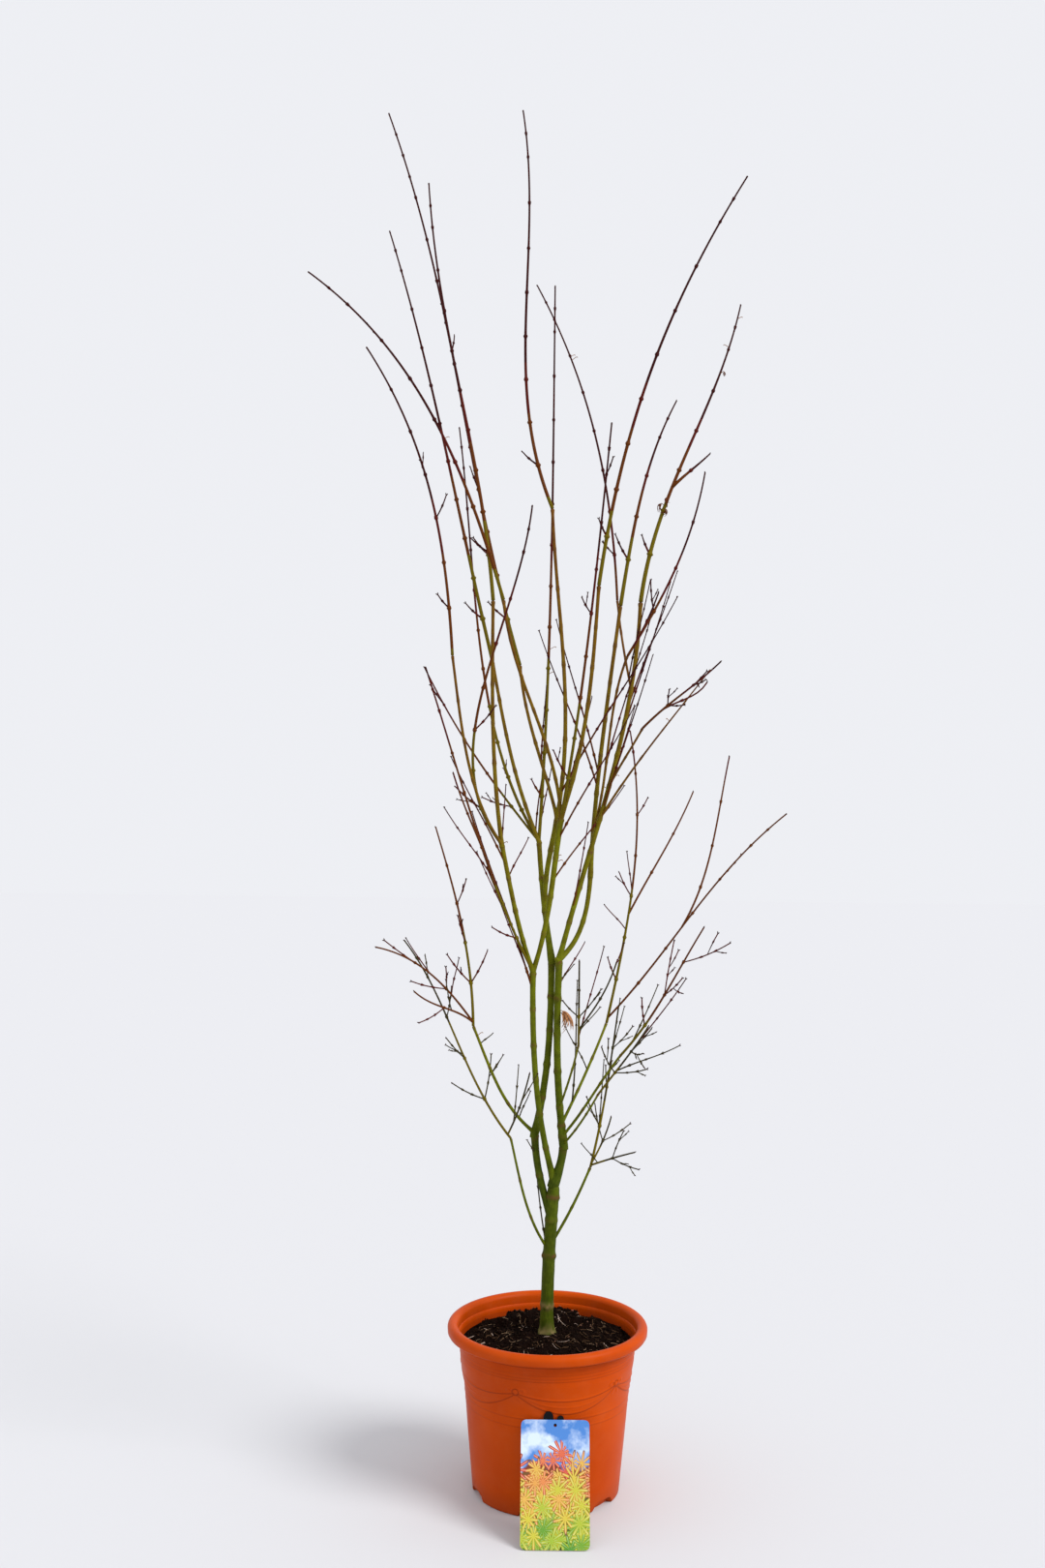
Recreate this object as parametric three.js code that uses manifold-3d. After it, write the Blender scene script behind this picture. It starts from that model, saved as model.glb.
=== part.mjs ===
// A bare young Japanese maple in its round plastic pot. Millimetres, +Z up, the pot stands on
// z = 0 with its axis on the origin, -Y is the side that the plant label leans on.

import * as THREE from 'three';
import { mergeVertices } from 'three/addons/utils/BufferGeometryUtils.js';
import Module from 'manifold-3d';

const wasm = await Module();
wasm.setup();

// The space left between any two pieces that meet.
const seam = 0.3;

const pot = {
  height: 272,
  rimRadius: 160.5,
  rimInside: 143.4,
  rimDepth: 18,
  rimEdge: 3,
  wall: 2.6,
  floor: 4,
  floorRadius: 100,
  segments: 44,
};

// The pot's outside from its foot to the underside of its rim, as radius and height.
const potOutside = [
  [116, 0],
  [118, 2],
  [126.6, 100],
  [128.6, 125],
  [130.6, 150],
  [133, 175],
  [136.9, 200],
  [139.5, 216],
  [141, 250],
  [142.5, 254],
];

// Heights where the inside of the wall bends, from the compost's edge down to the floor's bevel.
const insideHeights = [236, 200, 175, 150, 30];

const footNotch = { count: 6, width: 50, height: 13, depth: 9, firstBearing: -40 };

const compost = {
  edgeHeight: 239,
  crownHeight: 254,
  lump: 5,
  seatRadius: 19.5,
  segments: 22,
  rings: 6,
  seed: 41,
};

const trunk = {
  foot: [-1.5, 0],
  fork: [8, 0],
  forkHeight: 499,
  footLean: 0,
  tipLean: 4,
  footDiameter: 21,
  forkDiameter: 19.4,
  flare: 4.5,
  flareHeight: 11,
  rootLobes: 5,
  lobeDepth: 0.12,
  sides: 15,
  rings: 14,
};

// Limbs, each from an earlier one. Heights are above the floor, bearings turn from +X towards +Y.
// name, parent, leaves at height (tipTop: goes on from the parent's tip), reach, bearing, tip
// height, lean at foot, lean at tip, thickness at foot and at tip, and how far round from its
// bearing the limb first sets off.
const tipTop = 0;
const limbRows = [
  ['stem-left', 'trunk', 443, 29, 168, 577, 21, 2, 11.6, 11.4, 0],
  ['stem-right', 'trunk', tipTop, 14, 352, 561, 20, 2, 12.2, 12, 0],
  ['stem-middle', 'trunk', tipTop, 41, 202, 840, 17, 0, 9.6, 9, 0],
  ['left-upper-stem', 'stem-left', tipTop, 25, 19, 855, 14, 0, 11, 10.4, 0],
  ['right-upper-stem', 'stem-right', tipTop, 11, 159, 858, 8, -2, 11.6, 11, 0],
  ['low-left-limb', 'trunk', 387, 75, 212, 579, 38, 15, 4.6, 3.6, 0],
  ['low-right-limb', 'trunk', 395, 73, 27, 515, 38, 26, 5, 4, 0],
  ['left-bough', 'stem-left', tipTop, 112, 208, 758, 52, 24, 5.4, 4.2, 0],
  ['right-bough', 'right-upper-stem', 592, 118, 51, 740, 42, 34, 5, 4, 0],
  ['front-right-bough', 'right-upper-stem', 574, 122, 316, 724, 44, 42, 4.6, 3.6, 0],
  ['low-front-bough', 'stem-right', tipTop, 132, 292, 670, 56, 46, 3.8, 3.2, 0],
  ['inner-bough', 'right-upper-stem', 620, 112, 283, 742, 46, 36, 3.8, 3.2, 0],
  ['upper-left-bough', 'stem-middle', tipTop, 69, 222, 1046, 26, 16, 7.6, 7, 0],
  ['heart-left-bough', 'left-upper-stem', tipTop, 43, 121, 1041, 18, 8, 10.4, 7.6, 0],
  ['heart-bough', 'stem-middle', tipTop, 42, 350, 1086, 18, 8, 7.4, 9.4, 0],
  ['heart-middle-bough', 'heart-left-bough', 928, 39, 295, 1083, 9, 20, 8.4, 8.2, 180],
  ['heart-right-bough', 'right-upper-stem', tipTop, 126, 13, 1426, 14.5, 2, 8.6, 6.2, 0],
  ['back-right-elbow', 'right-upper-stem', tipTop, 57, 31, 991, 58, 3, 8, 7.4, 0],
  ['back-right-bough', 'back-right-elbow', tipTop, 75, 53, 1422, 4, 12, 7.6, 5.8, 0],
  ['left-leader', 'upper-left-bough', tipTop, 26, 132, 1423, 12, 0, 6.8, 5.2, 0],
  ['outer-left-leader', 'upper-left-bough', tipTop, 125, 233, 1336, 48, 12, 4.8, 4, 0],
  ['back-left-leader', 'heart-left-bough', tipTop, 88, 153, 1330, 26, 12, 6.4, 5.2, 0],
  ['top-leader', 'heart-middle-bough', tipTop, 37, 110, 1572, 10, 8, 7, 5, -90],
  ['tall-right-leader', 'heart-bough', tipTop, 66, 323, 1447, 22, 4, 7, 5.4, 0],
  ['tall-left-leader', 'heart-middle-bough', tipTop, 90, 133, 1324, 20, 8, 5.6, 4.8, 0],
  ['sweeping-left-leader', 'heart-bough', tipTop, 117, 217, 1422, 6, 8, 5.6, 4.6, 0],
  ['crossing-leader', 'heart-right-bough', 1288, 94, 102, 1432, 40, 24, 4, 3.6, 0],
  ['front-right-leader', 'back-right-bough', 1060, 101, 297, 1339, 30, 38, 4.4, 3.8, 0],
  ['right-side-bough', 'heart-right-bough', 1133, 96, 299, 1228, 42, 44, 4, 3.4, 0],
  ['right-side-shoot', 'heart-right-bough', 1082, 178, 338, 1320, 32, 38, 4, 1.9, 0],
];

// Twig masses, each on the tip of one limb: its stem's thickness, its leaders, the width of the
// space round them that its twigs keep to, the share of buds that have grown out, how long such a
// twig is, and the seed.
// A leader is its reach, bearing, tip height, lean at foot and at tip, the height where it parts
// from another, which one that is, and the turn it first sets off with. The first is the stem.
const massRows = [
  ['low-left-twigs', 'low-left-limb', 3.4, [[235, 140, 870, 52, 50], [112, 287, 704, 50, 34, 584, 0]],
    120, 0.5, 80, 3],
  ['low-right-twigs', 'low-right-limb', 3.6, [[81, 56, 765, 26, 14], [85, 322, 553, 66, 70, 518, 0],
    [42, 40, 590, 40, 20, 521, 0]], 90, 0.6, 62, 11],
  ['left-twigs', 'left-bough', 3.8, [[112, 126, 1063, 2, 30], [172, 212, 894, 38, 76, 764, 0],
    [140, 232, 830, 56, 54, 764, 0]], 90, 0.3, 62, 5],
  ['right-twigs', 'right-bough', 3.8, [[42, 38, 1219, 16, -14], [286, 346, 1092, 42, 50, 748, 0],
    [137, 36, 1115, 34, 28, 916, 0], [108, 42, 1178, 42, 16, 903, 1]], 80, 0.12, 56, 17],
  ['front-right-twigs', 'front-right-bough', 3.4, [[150, 320, 936, 44, 34]], 85, 0.5, 80, 23],
  ['low-front-twigs', 'low-front-bough', 3, [[154, 295, 801, 50, 46]], 85, 0.55, 75, 29],
  ['inner-twigs', 'inner-bough', 3, [[120, 268, 890, 38, 40], [70, 320, 880, 40, 20, 770, 0]],
    80, 0.4, 70, 31],
  ['left-front-twigs', 'stem-middle', 3.6, [[265, 232, 1318, 38, 27], [150, 246, 1164, 34, 34, 985, 0]],
    80, 0.08, 50, 37],
  ['left-leader-twigs', 'left-leader', 5, [[135, 144, 2078, 6, 5]], 80, 0.06, 38, 43],
  ['outer-left-twigs', 'outer-left-leader', 3.8, [[143, 209, 1776, 4, 38]], 90, 0.08, 40, 47],
  ['upper-front-twigs', 'upper-left-bough', 4.2, [[214, 281, 1549, 42, 30, 0, 0, -70]],
    90, 0.08, 46, 53],
  ['back-left-twigs', 'back-left-leader', 5, [[205, 151, 2039, 16, 20]], 90, 0.06, 38, 59],
  ['rear-left-twigs', 'heart-left-bough', 4.4, [[261, 123, 1729, 52, 14]], 90, 0.08, 42, 61],
  ['rear-low-twigs', 'heart-left-bough', 3.4, [[234, 146, 1320, 46, 32]], 90, 0.08, 50, 67],
  ['centre-twigs', 'heart-left-bough', 4.6, [[47, 70, 1933, 10, 0]], 90, 0.06, 42, 71],
  ['top-twigs', 'top-leader', 4.7, [[57, 160, 2196, 24, 10]], 90, 0.05, 38, 73],
  ['tall-right-twigs', 'tall-right-leader', 5, [[223, 339, 2047, 8, 34]], 90, 0.05, 38, 79],
  ['tall-left-twigs', 'tall-left-leader', 4.6, [[246, 156, 2222, 18, 22]], 90, 0.05, 38, 83],
  ['sweeping-left-twigs', 'sweeping-left-leader', 4.4, [[305, 199, 1890, 18, 58]], 90, 0.05, 38, 89],
  ['front-twigs', 'heart-bough', 4.2, [[248, 284, 1668, 32, 18]], 90, 0.08, 50, 97],
  ['crossing-twigs', 'crossing-leader', 3.4, [[181, 139, 1963, 4, 34]], 90, 0.06, 40, 101],
  ['front-right-leader-twigs', 'front-right-leader', 3.6, [[115, 359, 1622, 31, 9],
    [45, 325, 1436, 34, 22, 1352, 0]], 90, 0.2, 56, 103],
  ['right-side-twigs', 'right-side-bough', 3.2, [[148, 317, 1331, 50, 52],
    [80, 350, 1300, 40, 30, 1246, 0]], 80, 0.25, 50, 107],
  ['heart-right-twigs', 'heart-right-bough', 5.8, [[186, 30, 1912, 8, 14], [60, 5, 1664, 44, 46, 1610, 0]],
    90, 0.1, 44, 109],
  ['back-right-twigs', 'back-right-bough', 5.4, [[129, 44, 1765, 12, 36]], 90, 0.1, 44, 113],
];

// How every limb is shaped: the share of its length that each end's lean carries, the collar at
// its foot and the knot and blunt end at its tip.
const limb = {
  handle: 0.36,
  collar: 0.22,
  collarFade: 1.6,
  knot: 0.12,
  knotFade: 1.2,
  bluntEnd: 0.62,
  endLength: 0.45,
  ringGap: 36,
};

const twig = {
  tipDiameter: 2,
  sideTipDiameter: 1.6,
  footShare: 0.62,
  sideLeaderShare: 0.78,
  budGap: 70,
  angle: 42,
  straightens: 32,
  rises: 0.12,
  shortest: 0.55,
  longest: 1.15,
  forkedFrom: 70,
  forkShare: 0.45,
  clearance: 2.5,
  leaderSides: 4,
  sides: 3,
};

const label = {
  width: 105,
  length: 186,
  thickness: 1.2,
  corner: 9,
  footOut: 223,
  topOut: 135.7,
  x: 11.5,
  holeRadius: 2.6,
  holeFromTop: 8,
};

// The clip behind the card's top: a bar against the pot with a large and a small lobe above it.
const clip = {
  bar: [-7, 25, 7],
  largeLobe: [1, 8, 22],
  smallLobe: [19.5, 5.5, 15],
  thickness: 2,
  foot: 157,
  lean: 9.5,
  gap: 0.9,
};

const finish = {
  pot: { color: 0xc4531d, roughness: 0.42, metalness: 0 },
  compost: { color: 0x17110d, roughness: 0.95, metalness: 0 },
  trunk: { color: 0x5d6b33, roughness: 0.7, metalness: 0 },
  stem: { color: 0x4f6a2a, roughness: 0.55, metalness: 0 },
  bough: { color: 0x6b6a32, roughness: 0.55, metalness: 0 },
  twigs: { color: 0x6a3a26, roughness: 0.55, metalness: 0 },
  label: { color: 0xb9c95a, roughness: 0.3, metalness: 0 },
  clip: { color: 0x141414, roughness: 0.5, metalness: 0 },
};

const model = new THREE.Group();

// Adds one named piece with its own material to the model.
function place(name, geometry, look) {
  const mesh = new THREE.Mesh(geometry, new THREE.MeshStandardMaterial(look));
  mesh.name = name;
  model.add(mesh);
}

const radians = THREE.MathUtils.degToRad;

// Park and Miller's number series: the same seed always grows the same tree.
function dice(seed) {
  let state = seed;
  return () => {
    state = (state * 16807) % 2147483647;
    return state / 2147483647;
  };
}

// Closed geometry to a solid: only positions, shared corners, and no triangle without area.
function toSolid(geometry) {
  const bare = geometry.clone();
  bare.deleteAttribute('normal');
  bare.deleteAttribute('uv');
  const welded = mergeVertices(bare, 1e-3);
  const corners = welded.index.array;
  const kept = [];
  for (let i = 0; i < corners.length; i += 3) {
    const [a, b, c] = corners.slice(i, i + 3);
    if (a !== b && b !== c && c !== a) kept.push(a, b, c);
  }
  return new wasm.Manifold(new wasm.Mesh({
    numProp: 3,
    vertProperties: new Float32Array(welded.attributes.position.array),
    triVerts: new Uint32Array(kept),
  }));
}

function toGeometry(solid) {
  const mesh = solid.getMesh();
  const geometry = new THREE.BufferGeometry();
  geometry.setAttribute('position', new THREE.BufferAttribute(mesh.vertProperties, 3));
  geometry.setIndex(new THREE.BufferAttribute(mesh.triVerts, 1));
  geometry.computeVertexNormals();
  return geometry;
}

// A unit direction from its lean off the upright and its bearing, both in degrees.
function heading(lean, bearing) {
  const across = Math.sin(radians(lean));
  return new THREE.Vector3(
    across * Math.cos(radians(bearing)),
    across * Math.sin(radians(bearing)),
    Math.cos(radians(lean)),
  );
}

// A limb's centre line: one cubic from its foot to its tip, with a handle at each end.
function limbLine(foot, reach, bearing, top, footLean, tipLean, turn = 0) {
  const tip = foot.clone().addScaledVector(heading(90, bearing), reach).setZ(top);
  const handle = foot.distanceTo(tip) * limb.handle;
  return new THREE.CubicBezierCurve3(
    foot,
    foot.clone().addScaledVector(heading(footLean, bearing + turn), handle),
    tip.clone().addScaledVector(heading(tipLean, bearing), -handle),
    tip,
  );
}

// Where a rising line passes a height, as its curve parameter.
function atHeight(line, height) {
  let low = 0;
  let high = 1;
  for (let step = 0; step < 30; step += 1) {
    const middle = (low + high) / 2;
    if (line.getPoint(middle).z < height) low = middle;
    else high = middle;
  }
  return low;
}

// Wraps a lathe-turned rod round a line. Each ring has its place on the line, its radius and a
// shift along the line's own direction, which rounds the tip.
function wrap(line, rings, sides, swell = () => 1) {
  const outline = rings.map((ring, i) => new THREE.Vector2(ring.radius, i));
  const ends = [new THREE.Vector2(0, 0), new THREE.Vector2(0, -1)];
  const rod = new THREE.LatheGeometry([ends[0], ...outline, ends[1]], sides);
  const places = rod.attributes.position;
  const last = rings.length - 1;
  for (let i = 0; i < places.count; i += 1) {
    const across = Math.hypot(places.getX(i), places.getZ(i));
    const row = places.getY(i);
    const ring = rings[row < 0 ? last : Math.round(row)];
    const centre = line.getPoint(ring.t);
    const along = line.getTangent(ring.t);
    const side = new THREE.Vector3(0, 1, 0).addScaledVector(along, -along.y).normalize();
    const front = along.clone().cross(side);
    const angle = Math.atan2(places.getZ(i), places.getX(i));
    const radius = across > 1e-6 ? across * swell(angle, centre.z) : 0;
    centre.addScaledVector(front, radius * Math.cos(angle));
    centre.addScaledVector(side, radius * Math.sin(angle));
    centre.addScaledVector(along, ring.shift);
    places.setXYZ(i, centre.x, centre.y, centre.z);
  }
  return rod;
}

// The rings of a tapering limb: a collar at the foot where it leaves another's side, a slight
// swelling and a blunt end at the tip, which a twig lacks. extra grows it on every side.
function taper(length, footDiameter, tipDiameter, count, collar = 0, extra = 0) {
  const rings = [];
  for (let i = 0; i <= count; i += 1) {
    const t = i / count;
    const foot = 1 + collar * Math.exp((-t * length) / (limb.collarFade * footDiameter));
    const knot = 1 + limb.knot * Math.exp(((t - 1) * length) / (limb.knotFade * tipDiameter));
    const diameter = THREE.MathUtils.lerp(footDiameter, tipDiameter, t);
    rings.push({ t, radius: (diameter * foot * knot) / 2 + extra, shift: 0 });
  }
  const end = rings[count].radius;
  if (tipDiameter > twig.tipDiameter) {
    rings.push({ t: 1, radius: end * limb.bluntEnd, shift: end * limb.endLength + extra * 0.5 });
  }
  return rings;
}

// Every limb and twig that stands already, as points with a radius, so that nothing grows into it.
const standing = [];

function remember(owner, line, footRadius, tipRadius, count) {
  for (let i = 0; i <= count; i += 1) {
    const radius = THREE.MathUtils.lerp(footRadius, tipRadius, i / count);
    standing.push({ owner, place: line.getPoint(i / count), radius });
  }
}

function isClear(line, radius, owner) {
  const steps = 10;
  for (let i = 3; i <= steps; i += 1) {
    const place = line.getPoint(i / steps);
    for (const other of standing) {
      const near = other.radius + radius + (other.owner === owner ? 2 : 5) * twig.clearance;
      if (place.distanceToSquared(other.place) < near * near) return false;
    }
  }
  return true;
}

// Every limb by name, and every room that limbs and leaders need, a seam wider than they are.
const limbs = new Map();
const rooms = [];

// The largest of the bodies that a cut leaves.
function mainBody(solid) {
  return solid.decompose().reduce((best, body) => (body.volume() > best.volume() ? body : best));
}

// Cuts a solid clear of every room that it could meet.
function cutClear(solid) {
  let result = solid;
  const box = solid.boundingBox();
  for (const room of rooms) {
    const other = room.boundingBox();
    const apart = [0, 1, 2].some((k) => other.min[k] > box.max[k] || other.max[k] < box.min[k]);
    if (!apart) result = result.subtract(room);
  }
  return mainBody(result);
}

function addLimb(name, parent, height, ...shape) {
  const [reach, bearing, top, footLean, tipLean, footWide, tipWide, turn] = shape;
  const carrier = limbs.get(parent);
  const onTip = height === tipTop;
  const foot = carrier.getPoint(onTip ? 1 : atHeight(carrier, height));
  const line = limbLine(foot, reach, bearing, top, footLean, tipLean, turn);
  const length = line.getLength();
  const count = THREE.MathUtils.clamp(Math.round(length / limb.ringGap), 6, 14);
  const sides = footWide > 8 ? 9 : footWide > 5 ? 7 : 5;
  const collar = onTip ? 0 : limb.collar;
  const body = cutClear(toSolid(wrap(line, taper(length, footWide, tipWide, count, collar), sides)));
  rooms.push(toSolid(wrap(line, taper(length, footWide, tipWide, count, collar, seam), sides)));
  limbs.set(name, line);
  remember(name, line, footWide / 2, tipWide / 2, count * 2);
  place(name, toGeometry(body), footWide > 11 ? finish.stem : finish.bough);
}

// The radius of the pot's outside at a height.
function outsideAt(height) {
  const above = potOutside.findIndex((point) => point[1] >= height);
  const [low, high] = [potOutside[above - 1], potOutside[above]];
  return THREE.MathUtils.mapLinear(height, low[1], high[1], low[0], high[0]);
}

// The pot: one turned profile, up the outside, over the rolled rim and down the inside, with
// arched notches round its foot.
function potProfile() {
  const under = pot.height - pot.rimDepth;
  const roll = (pot.rimRadius - pot.rimInside) / 2;
  const rim = [20, 55, 90, 125, 160].map((angle) => [
    pot.rimRadius - roll + roll * Math.cos(radians(angle)),
    pot.height - roll * (1 - Math.sin(radians(angle))),
  ]);
  return [
    [0, 0],
    ...potOutside,
    [pot.rimRadius - pot.rimEdge, under],
    [pot.rimRadius, under + pot.rimEdge],
    ...rim,
    [pot.rimInside, under],
    ...insideHeights.map((height) => [outsideAt(height) - pot.wall, height]),
    [pot.floorRadius, pot.floor],
    [0, pot.floor],
  ];
}

function turned(profile, segments) {
  const points = profile.map(([radius, height]) => new THREE.Vector2(radius, height));
  const geometry = new THREE.LatheGeometry(points, segments);
  geometry.rotateX(Math.PI / 2);
  return toSolid(geometry);
}

function archedNotch(bearing) {
  const half = footNotch.width / 2;
  const arch = new THREE.Shape();
  const sunk = 2;
  arch.moveTo(-half, -sunk);
  arch.lineTo(half, -sunk);
  arch.quadraticCurveTo(half * 0.9, footNotch.height, 0, footNotch.height);
  arch.quadraticCurveTo(-half * 0.9, footNotch.height, -half, -sunk);
  const block = new THREE.ExtrudeGeometry(arch, {
    depth: footNotch.width,
    bevelEnabled: false,
    curveSegments: 4,
  });
  block.rotateX(Math.PI / 2);
  block.translate(0, footNotch.depth - potOutside[1][0], 0);
  block.rotateZ(radians(bearing + 90));
  return toSolid(block);
}

function makePot() {
  let body = turned(potProfile(), pot.segments);
  for (let i = 0; i < footNotch.count; i += 1) {
    body = body.subtract(archedNotch(footNotch.firstBearing + (i * 360) / footNotch.count));
  }
  place('pot', toGeometry(body), finish.pot);
}

// The compost fills the pot to a low uneven crown with a flat place for the trunk.
function makeCompost() {
  const throwDice = dice(compost.seed);
  const clear = pot.wall + seam;
  const top = compost.crownHeight - seam;
  const edge = outsideAt(compost.edgeHeight) - clear;
  const profile = [
    [0, pot.floor + seam],
    [pot.floorRadius - 2 * seam, pot.floor + seam],
    ...insideHeights.map((height) => [outsideAt(height) - clear, height]).reverse(),
  ];
  const wallRows = profile.length;
  for (let i = 0; i < compost.rings; i += 1) {
    const share = i / compost.rings;
    const radius = THREE.MathUtils.lerp(edge, compost.seatRadius, share);
    const rise = Math.sin((share * Math.PI) / 2);
    profile.push([radius, THREE.MathUtils.lerp(compost.edgeHeight, top, rise)]);
  }
  const lumpRows = profile.length;
  profile.push([compost.seatRadius, top], [0, top]);
  const points = profile.map(([radius, height]) => new THREE.Vector2(radius, height));
  const geometry = new THREE.LatheGeometry(points, compost.segments);
  geometry.rotateX(Math.PI / 2);
  const places = geometry.attributes.position;
  const lumps = Array.from({ length: compost.segments * lumpRows }, () => throwDice() - 0.4);
  for (let i = 0; i < places.count; i += 1) {
    const row = i % points.length;
    const column = Math.floor(i / points.length) % compost.segments;
    const lump = row > wallRows && row < lumpRows ? lumps[column * lumpRows + row] : 0;
    places.setZ(i, places.getZ(i) + compost.lump * lump);
  }
  place('compost', toGeometry(toSolid(geometry)), finish.compost);
}

// The trunk stands on a flat cut at the compost, with a low flare over its root lobes.
function makeTrunk() {
  const foot = new THREE.Vector3(trunk.foot[0], trunk.foot[1], compost.crownHeight);
  const reach = trunk.fork[0] - trunk.foot[0];
  const line = limbLine(foot, reach, 0, trunk.forkHeight, trunk.footLean, trunk.tipLean);
  const makeRings = (extra) => {
    const rings = taper(line.getLength(), trunk.footDiameter, trunk.forkDiameter, trunk.rings, 0, extra);
    for (const ring of rings) {
      const above = ring.t * (trunk.forkHeight - compost.crownHeight);
      ring.radius += trunk.flare * Math.exp(-above / trunk.flareHeight);
    }
    return rings;
  };
  const lobes = (angle, height) => {
    const fade = Math.exp((compost.crownHeight - height) / trunk.flareHeight);
    return 1 + trunk.lobeDepth * fade * Math.cos(trunk.rootLobes * angle);
  };
  rooms.push(toSolid(wrap(line, makeRings(seam), trunk.sides, lobes)));
  limbs.set('trunk', line);
  remember('trunk', line, trunk.footDiameter / 2, trunk.forkDiameter / 2, 24);
  place('trunk', wrap(line, makeRings(0), trunk.sides, lobes), finish.trunk);
}

// One side twig: it leaves its carrier at an angle, to one side, and then straightens up.
function twigLine(carrier, t, side, length, angle) {
  const foot = carrier.getPoint(t);
  const along = carrier.getTangent(t);
  const across = new THREE.Vector3(0, 1, 0).addScaledVector(along, -along.y).normalize();
  across.applyAxisAngle(along, side);
  const sets = along.clone().multiplyScalar(Math.cos(radians(angle)));
  sets.addScaledVector(across, Math.sin(radians(angle)));
  const ends = along.clone().multiplyScalar(Math.cos(radians(twig.straightens)));
  ends.addScaledVector(across, Math.sin(radians(twig.straightens)));
  ends.z += twig.rises;
  ends.normalize();
  const tip = foot.clone().addScaledVector(sets, length * 0.5).addScaledVector(ends, length * 0.5);
  return new THREE.CubicBezierCurve3(
    foot,
    foot.clone().addScaledVector(sets, length * limb.handle),
    tip.clone().addScaledVector(ends, -length * limb.handle),
    tip,
  );
}

function keepsToSpace(line, leaders, width) {
  const steps = 4;
  const leaderPoints = leaders.flatMap((leader) => leader.getPoints(24));
  const highest = Math.max(...leaderPoints.map((point) => point.z));
  for (let i = 1; i <= steps; i += 1) {
    const place = line.getPoint(i / steps);
    const nearest = Math.min(...leaderPoints.map((point) => place.distanceTo(point)));
    if (nearest > width || place.z > highest) return false;
  }
  return true;
}

// A mass of twigs: its leaders, then a pair of buds at every step, each pair a quarter turn round
// from the last. Some buds have grown into a twig, and a long twig forks once.
function addMass(name, parent, stemWide, leaderRows, width, grown, twigLength, seed) {
  const throwDice = dice(seed);
  const foot = limbs.get(parent).getPoint(1);
  const leaders = [];
  const footWides = [];
  leaderRows.forEach(([reach, bearing, top, footLean, tipLean, partsAt, from, turn], i) => {
    const start = i === 0 ? foot : leaders[from].getPoint(atHeight(leaders[from], partsAt));
    leaders.push(limbLine(start, reach, bearing, top, footLean, tipLean, turn));
    footWides.push(i === 0 ? stemWide : stemWide * twig.sideLeaderShare);
  });
  const pieces = [];
  const ownRooms = [];
  const grow = (line, footWide, tipWide, count, sides) => {
    pieces.push(toSolid(wrap(line, taper(line.getLength(), footWide, tipWide, count), sides)));
    remember(name, line, footWide / 2, tipWide / 2, count * 2);
  };
  const nodeCounts = leaders.map((leader) => Math.max(Math.round(leader.getLength() / twig.budGap), 2));
  leaders.forEach((leader, i) => {
    const count = nodeCounts[i] * (nodeCounts[i] < 4 ? 2 : 1);
    grow(leader, footWides[i], twig.tipDiameter, count, twig.leaderSides);
    const roomy = taper(leader.getLength(), footWides[i], twig.tipDiameter, count, 0, seam * 1.5);
    ownRooms.push(toSolid(wrap(leader, roomy, twig.leaderSides)));
  });
  leaders.forEach((leader, i) => {
    for (let node = 1; node < nodeCounts[i]; node += 1) {
      const t = node / nodeCounts[i];
      const wide = THREE.MathUtils.lerp(footWides[i], twig.tipDiameter, t);
      for (const half of [0, Math.PI]) {
        const [buds, size, swing] = [throwDice(), throwDice(), throwDice()];
        if (buds > grown) continue;
        const side = (node * Math.PI) / 2 + half + swing - 0.5;
        const long = twigLength * THREE.MathUtils.lerp(twig.shortest, twig.longest, size);
        const line = twigLine(leader, t, side, long, twig.angle);
        const thick = Math.max(wide * twig.footShare, twig.sideTipDiameter);
        if (!keepsToSpace(line, leaders, width) || !isClear(line, thick / 2, name)) continue;
        grow(line, thick, twig.sideTipDiameter, 2, twig.sides);
        if (long < twig.forkedFrom) continue;
        const fork = twigLine(line, 0.5, swing * 6, long * twig.forkShare, twig.angle);
        if (!keepsToSpace(fork, leaders, width) || !isClear(fork, 1, name)) continue;
        grow(fork, thick * 0.7, twig.sideTipDiameter, 2, twig.sides);
      }
    }
  });
  const mass = pieces.reduce((whole, piece) => whole.add(piece));
  place(name, toGeometry(cutClear(mass)), finish.twigs);
  rooms.push(...ownRooms);
}

// The plant label: a round-cornered card with a hole, its foot on the floor, leaning on the pot.
function makeLabel() {
  const half = label.width / 2;
  const lean = Math.asin((label.footOut - label.topOut) / label.length);
  const card = new THREE.Shape();
  const corner = label.corner;
  card.moveTo(-half + corner, 0);
  card.lineTo(half - corner, 0);
  card.quadraticCurveTo(half, 0, half, corner);
  card.lineTo(half, label.length - corner);
  card.quadraticCurveTo(half, label.length, half - corner, label.length);
  card.lineTo(-half + corner, label.length);
  card.quadraticCurveTo(-half, label.length, -half, label.length - corner);
  card.lineTo(-half, corner);
  card.quadraticCurveTo(-half, 0, -half + corner, 0);
  const hole = new THREE.Path();
  hole.absarc(0, label.length - label.holeFromTop, label.holeRadius, 0, Math.PI * 2, true);
  card.holes.push(hole);
  const geometry = new THREE.ExtrudeGeometry(card, {
    depth: label.thickness,
    bevelEnabled: false,
    curveSegments: 5,
  });
  geometry.rotateX(Math.PI / 2 - lean);
  geometry.translate(label.x, -label.footOut, label.thickness * Math.sin(lean) + seam);
  place('label', geometry, finish.label);
}

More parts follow.
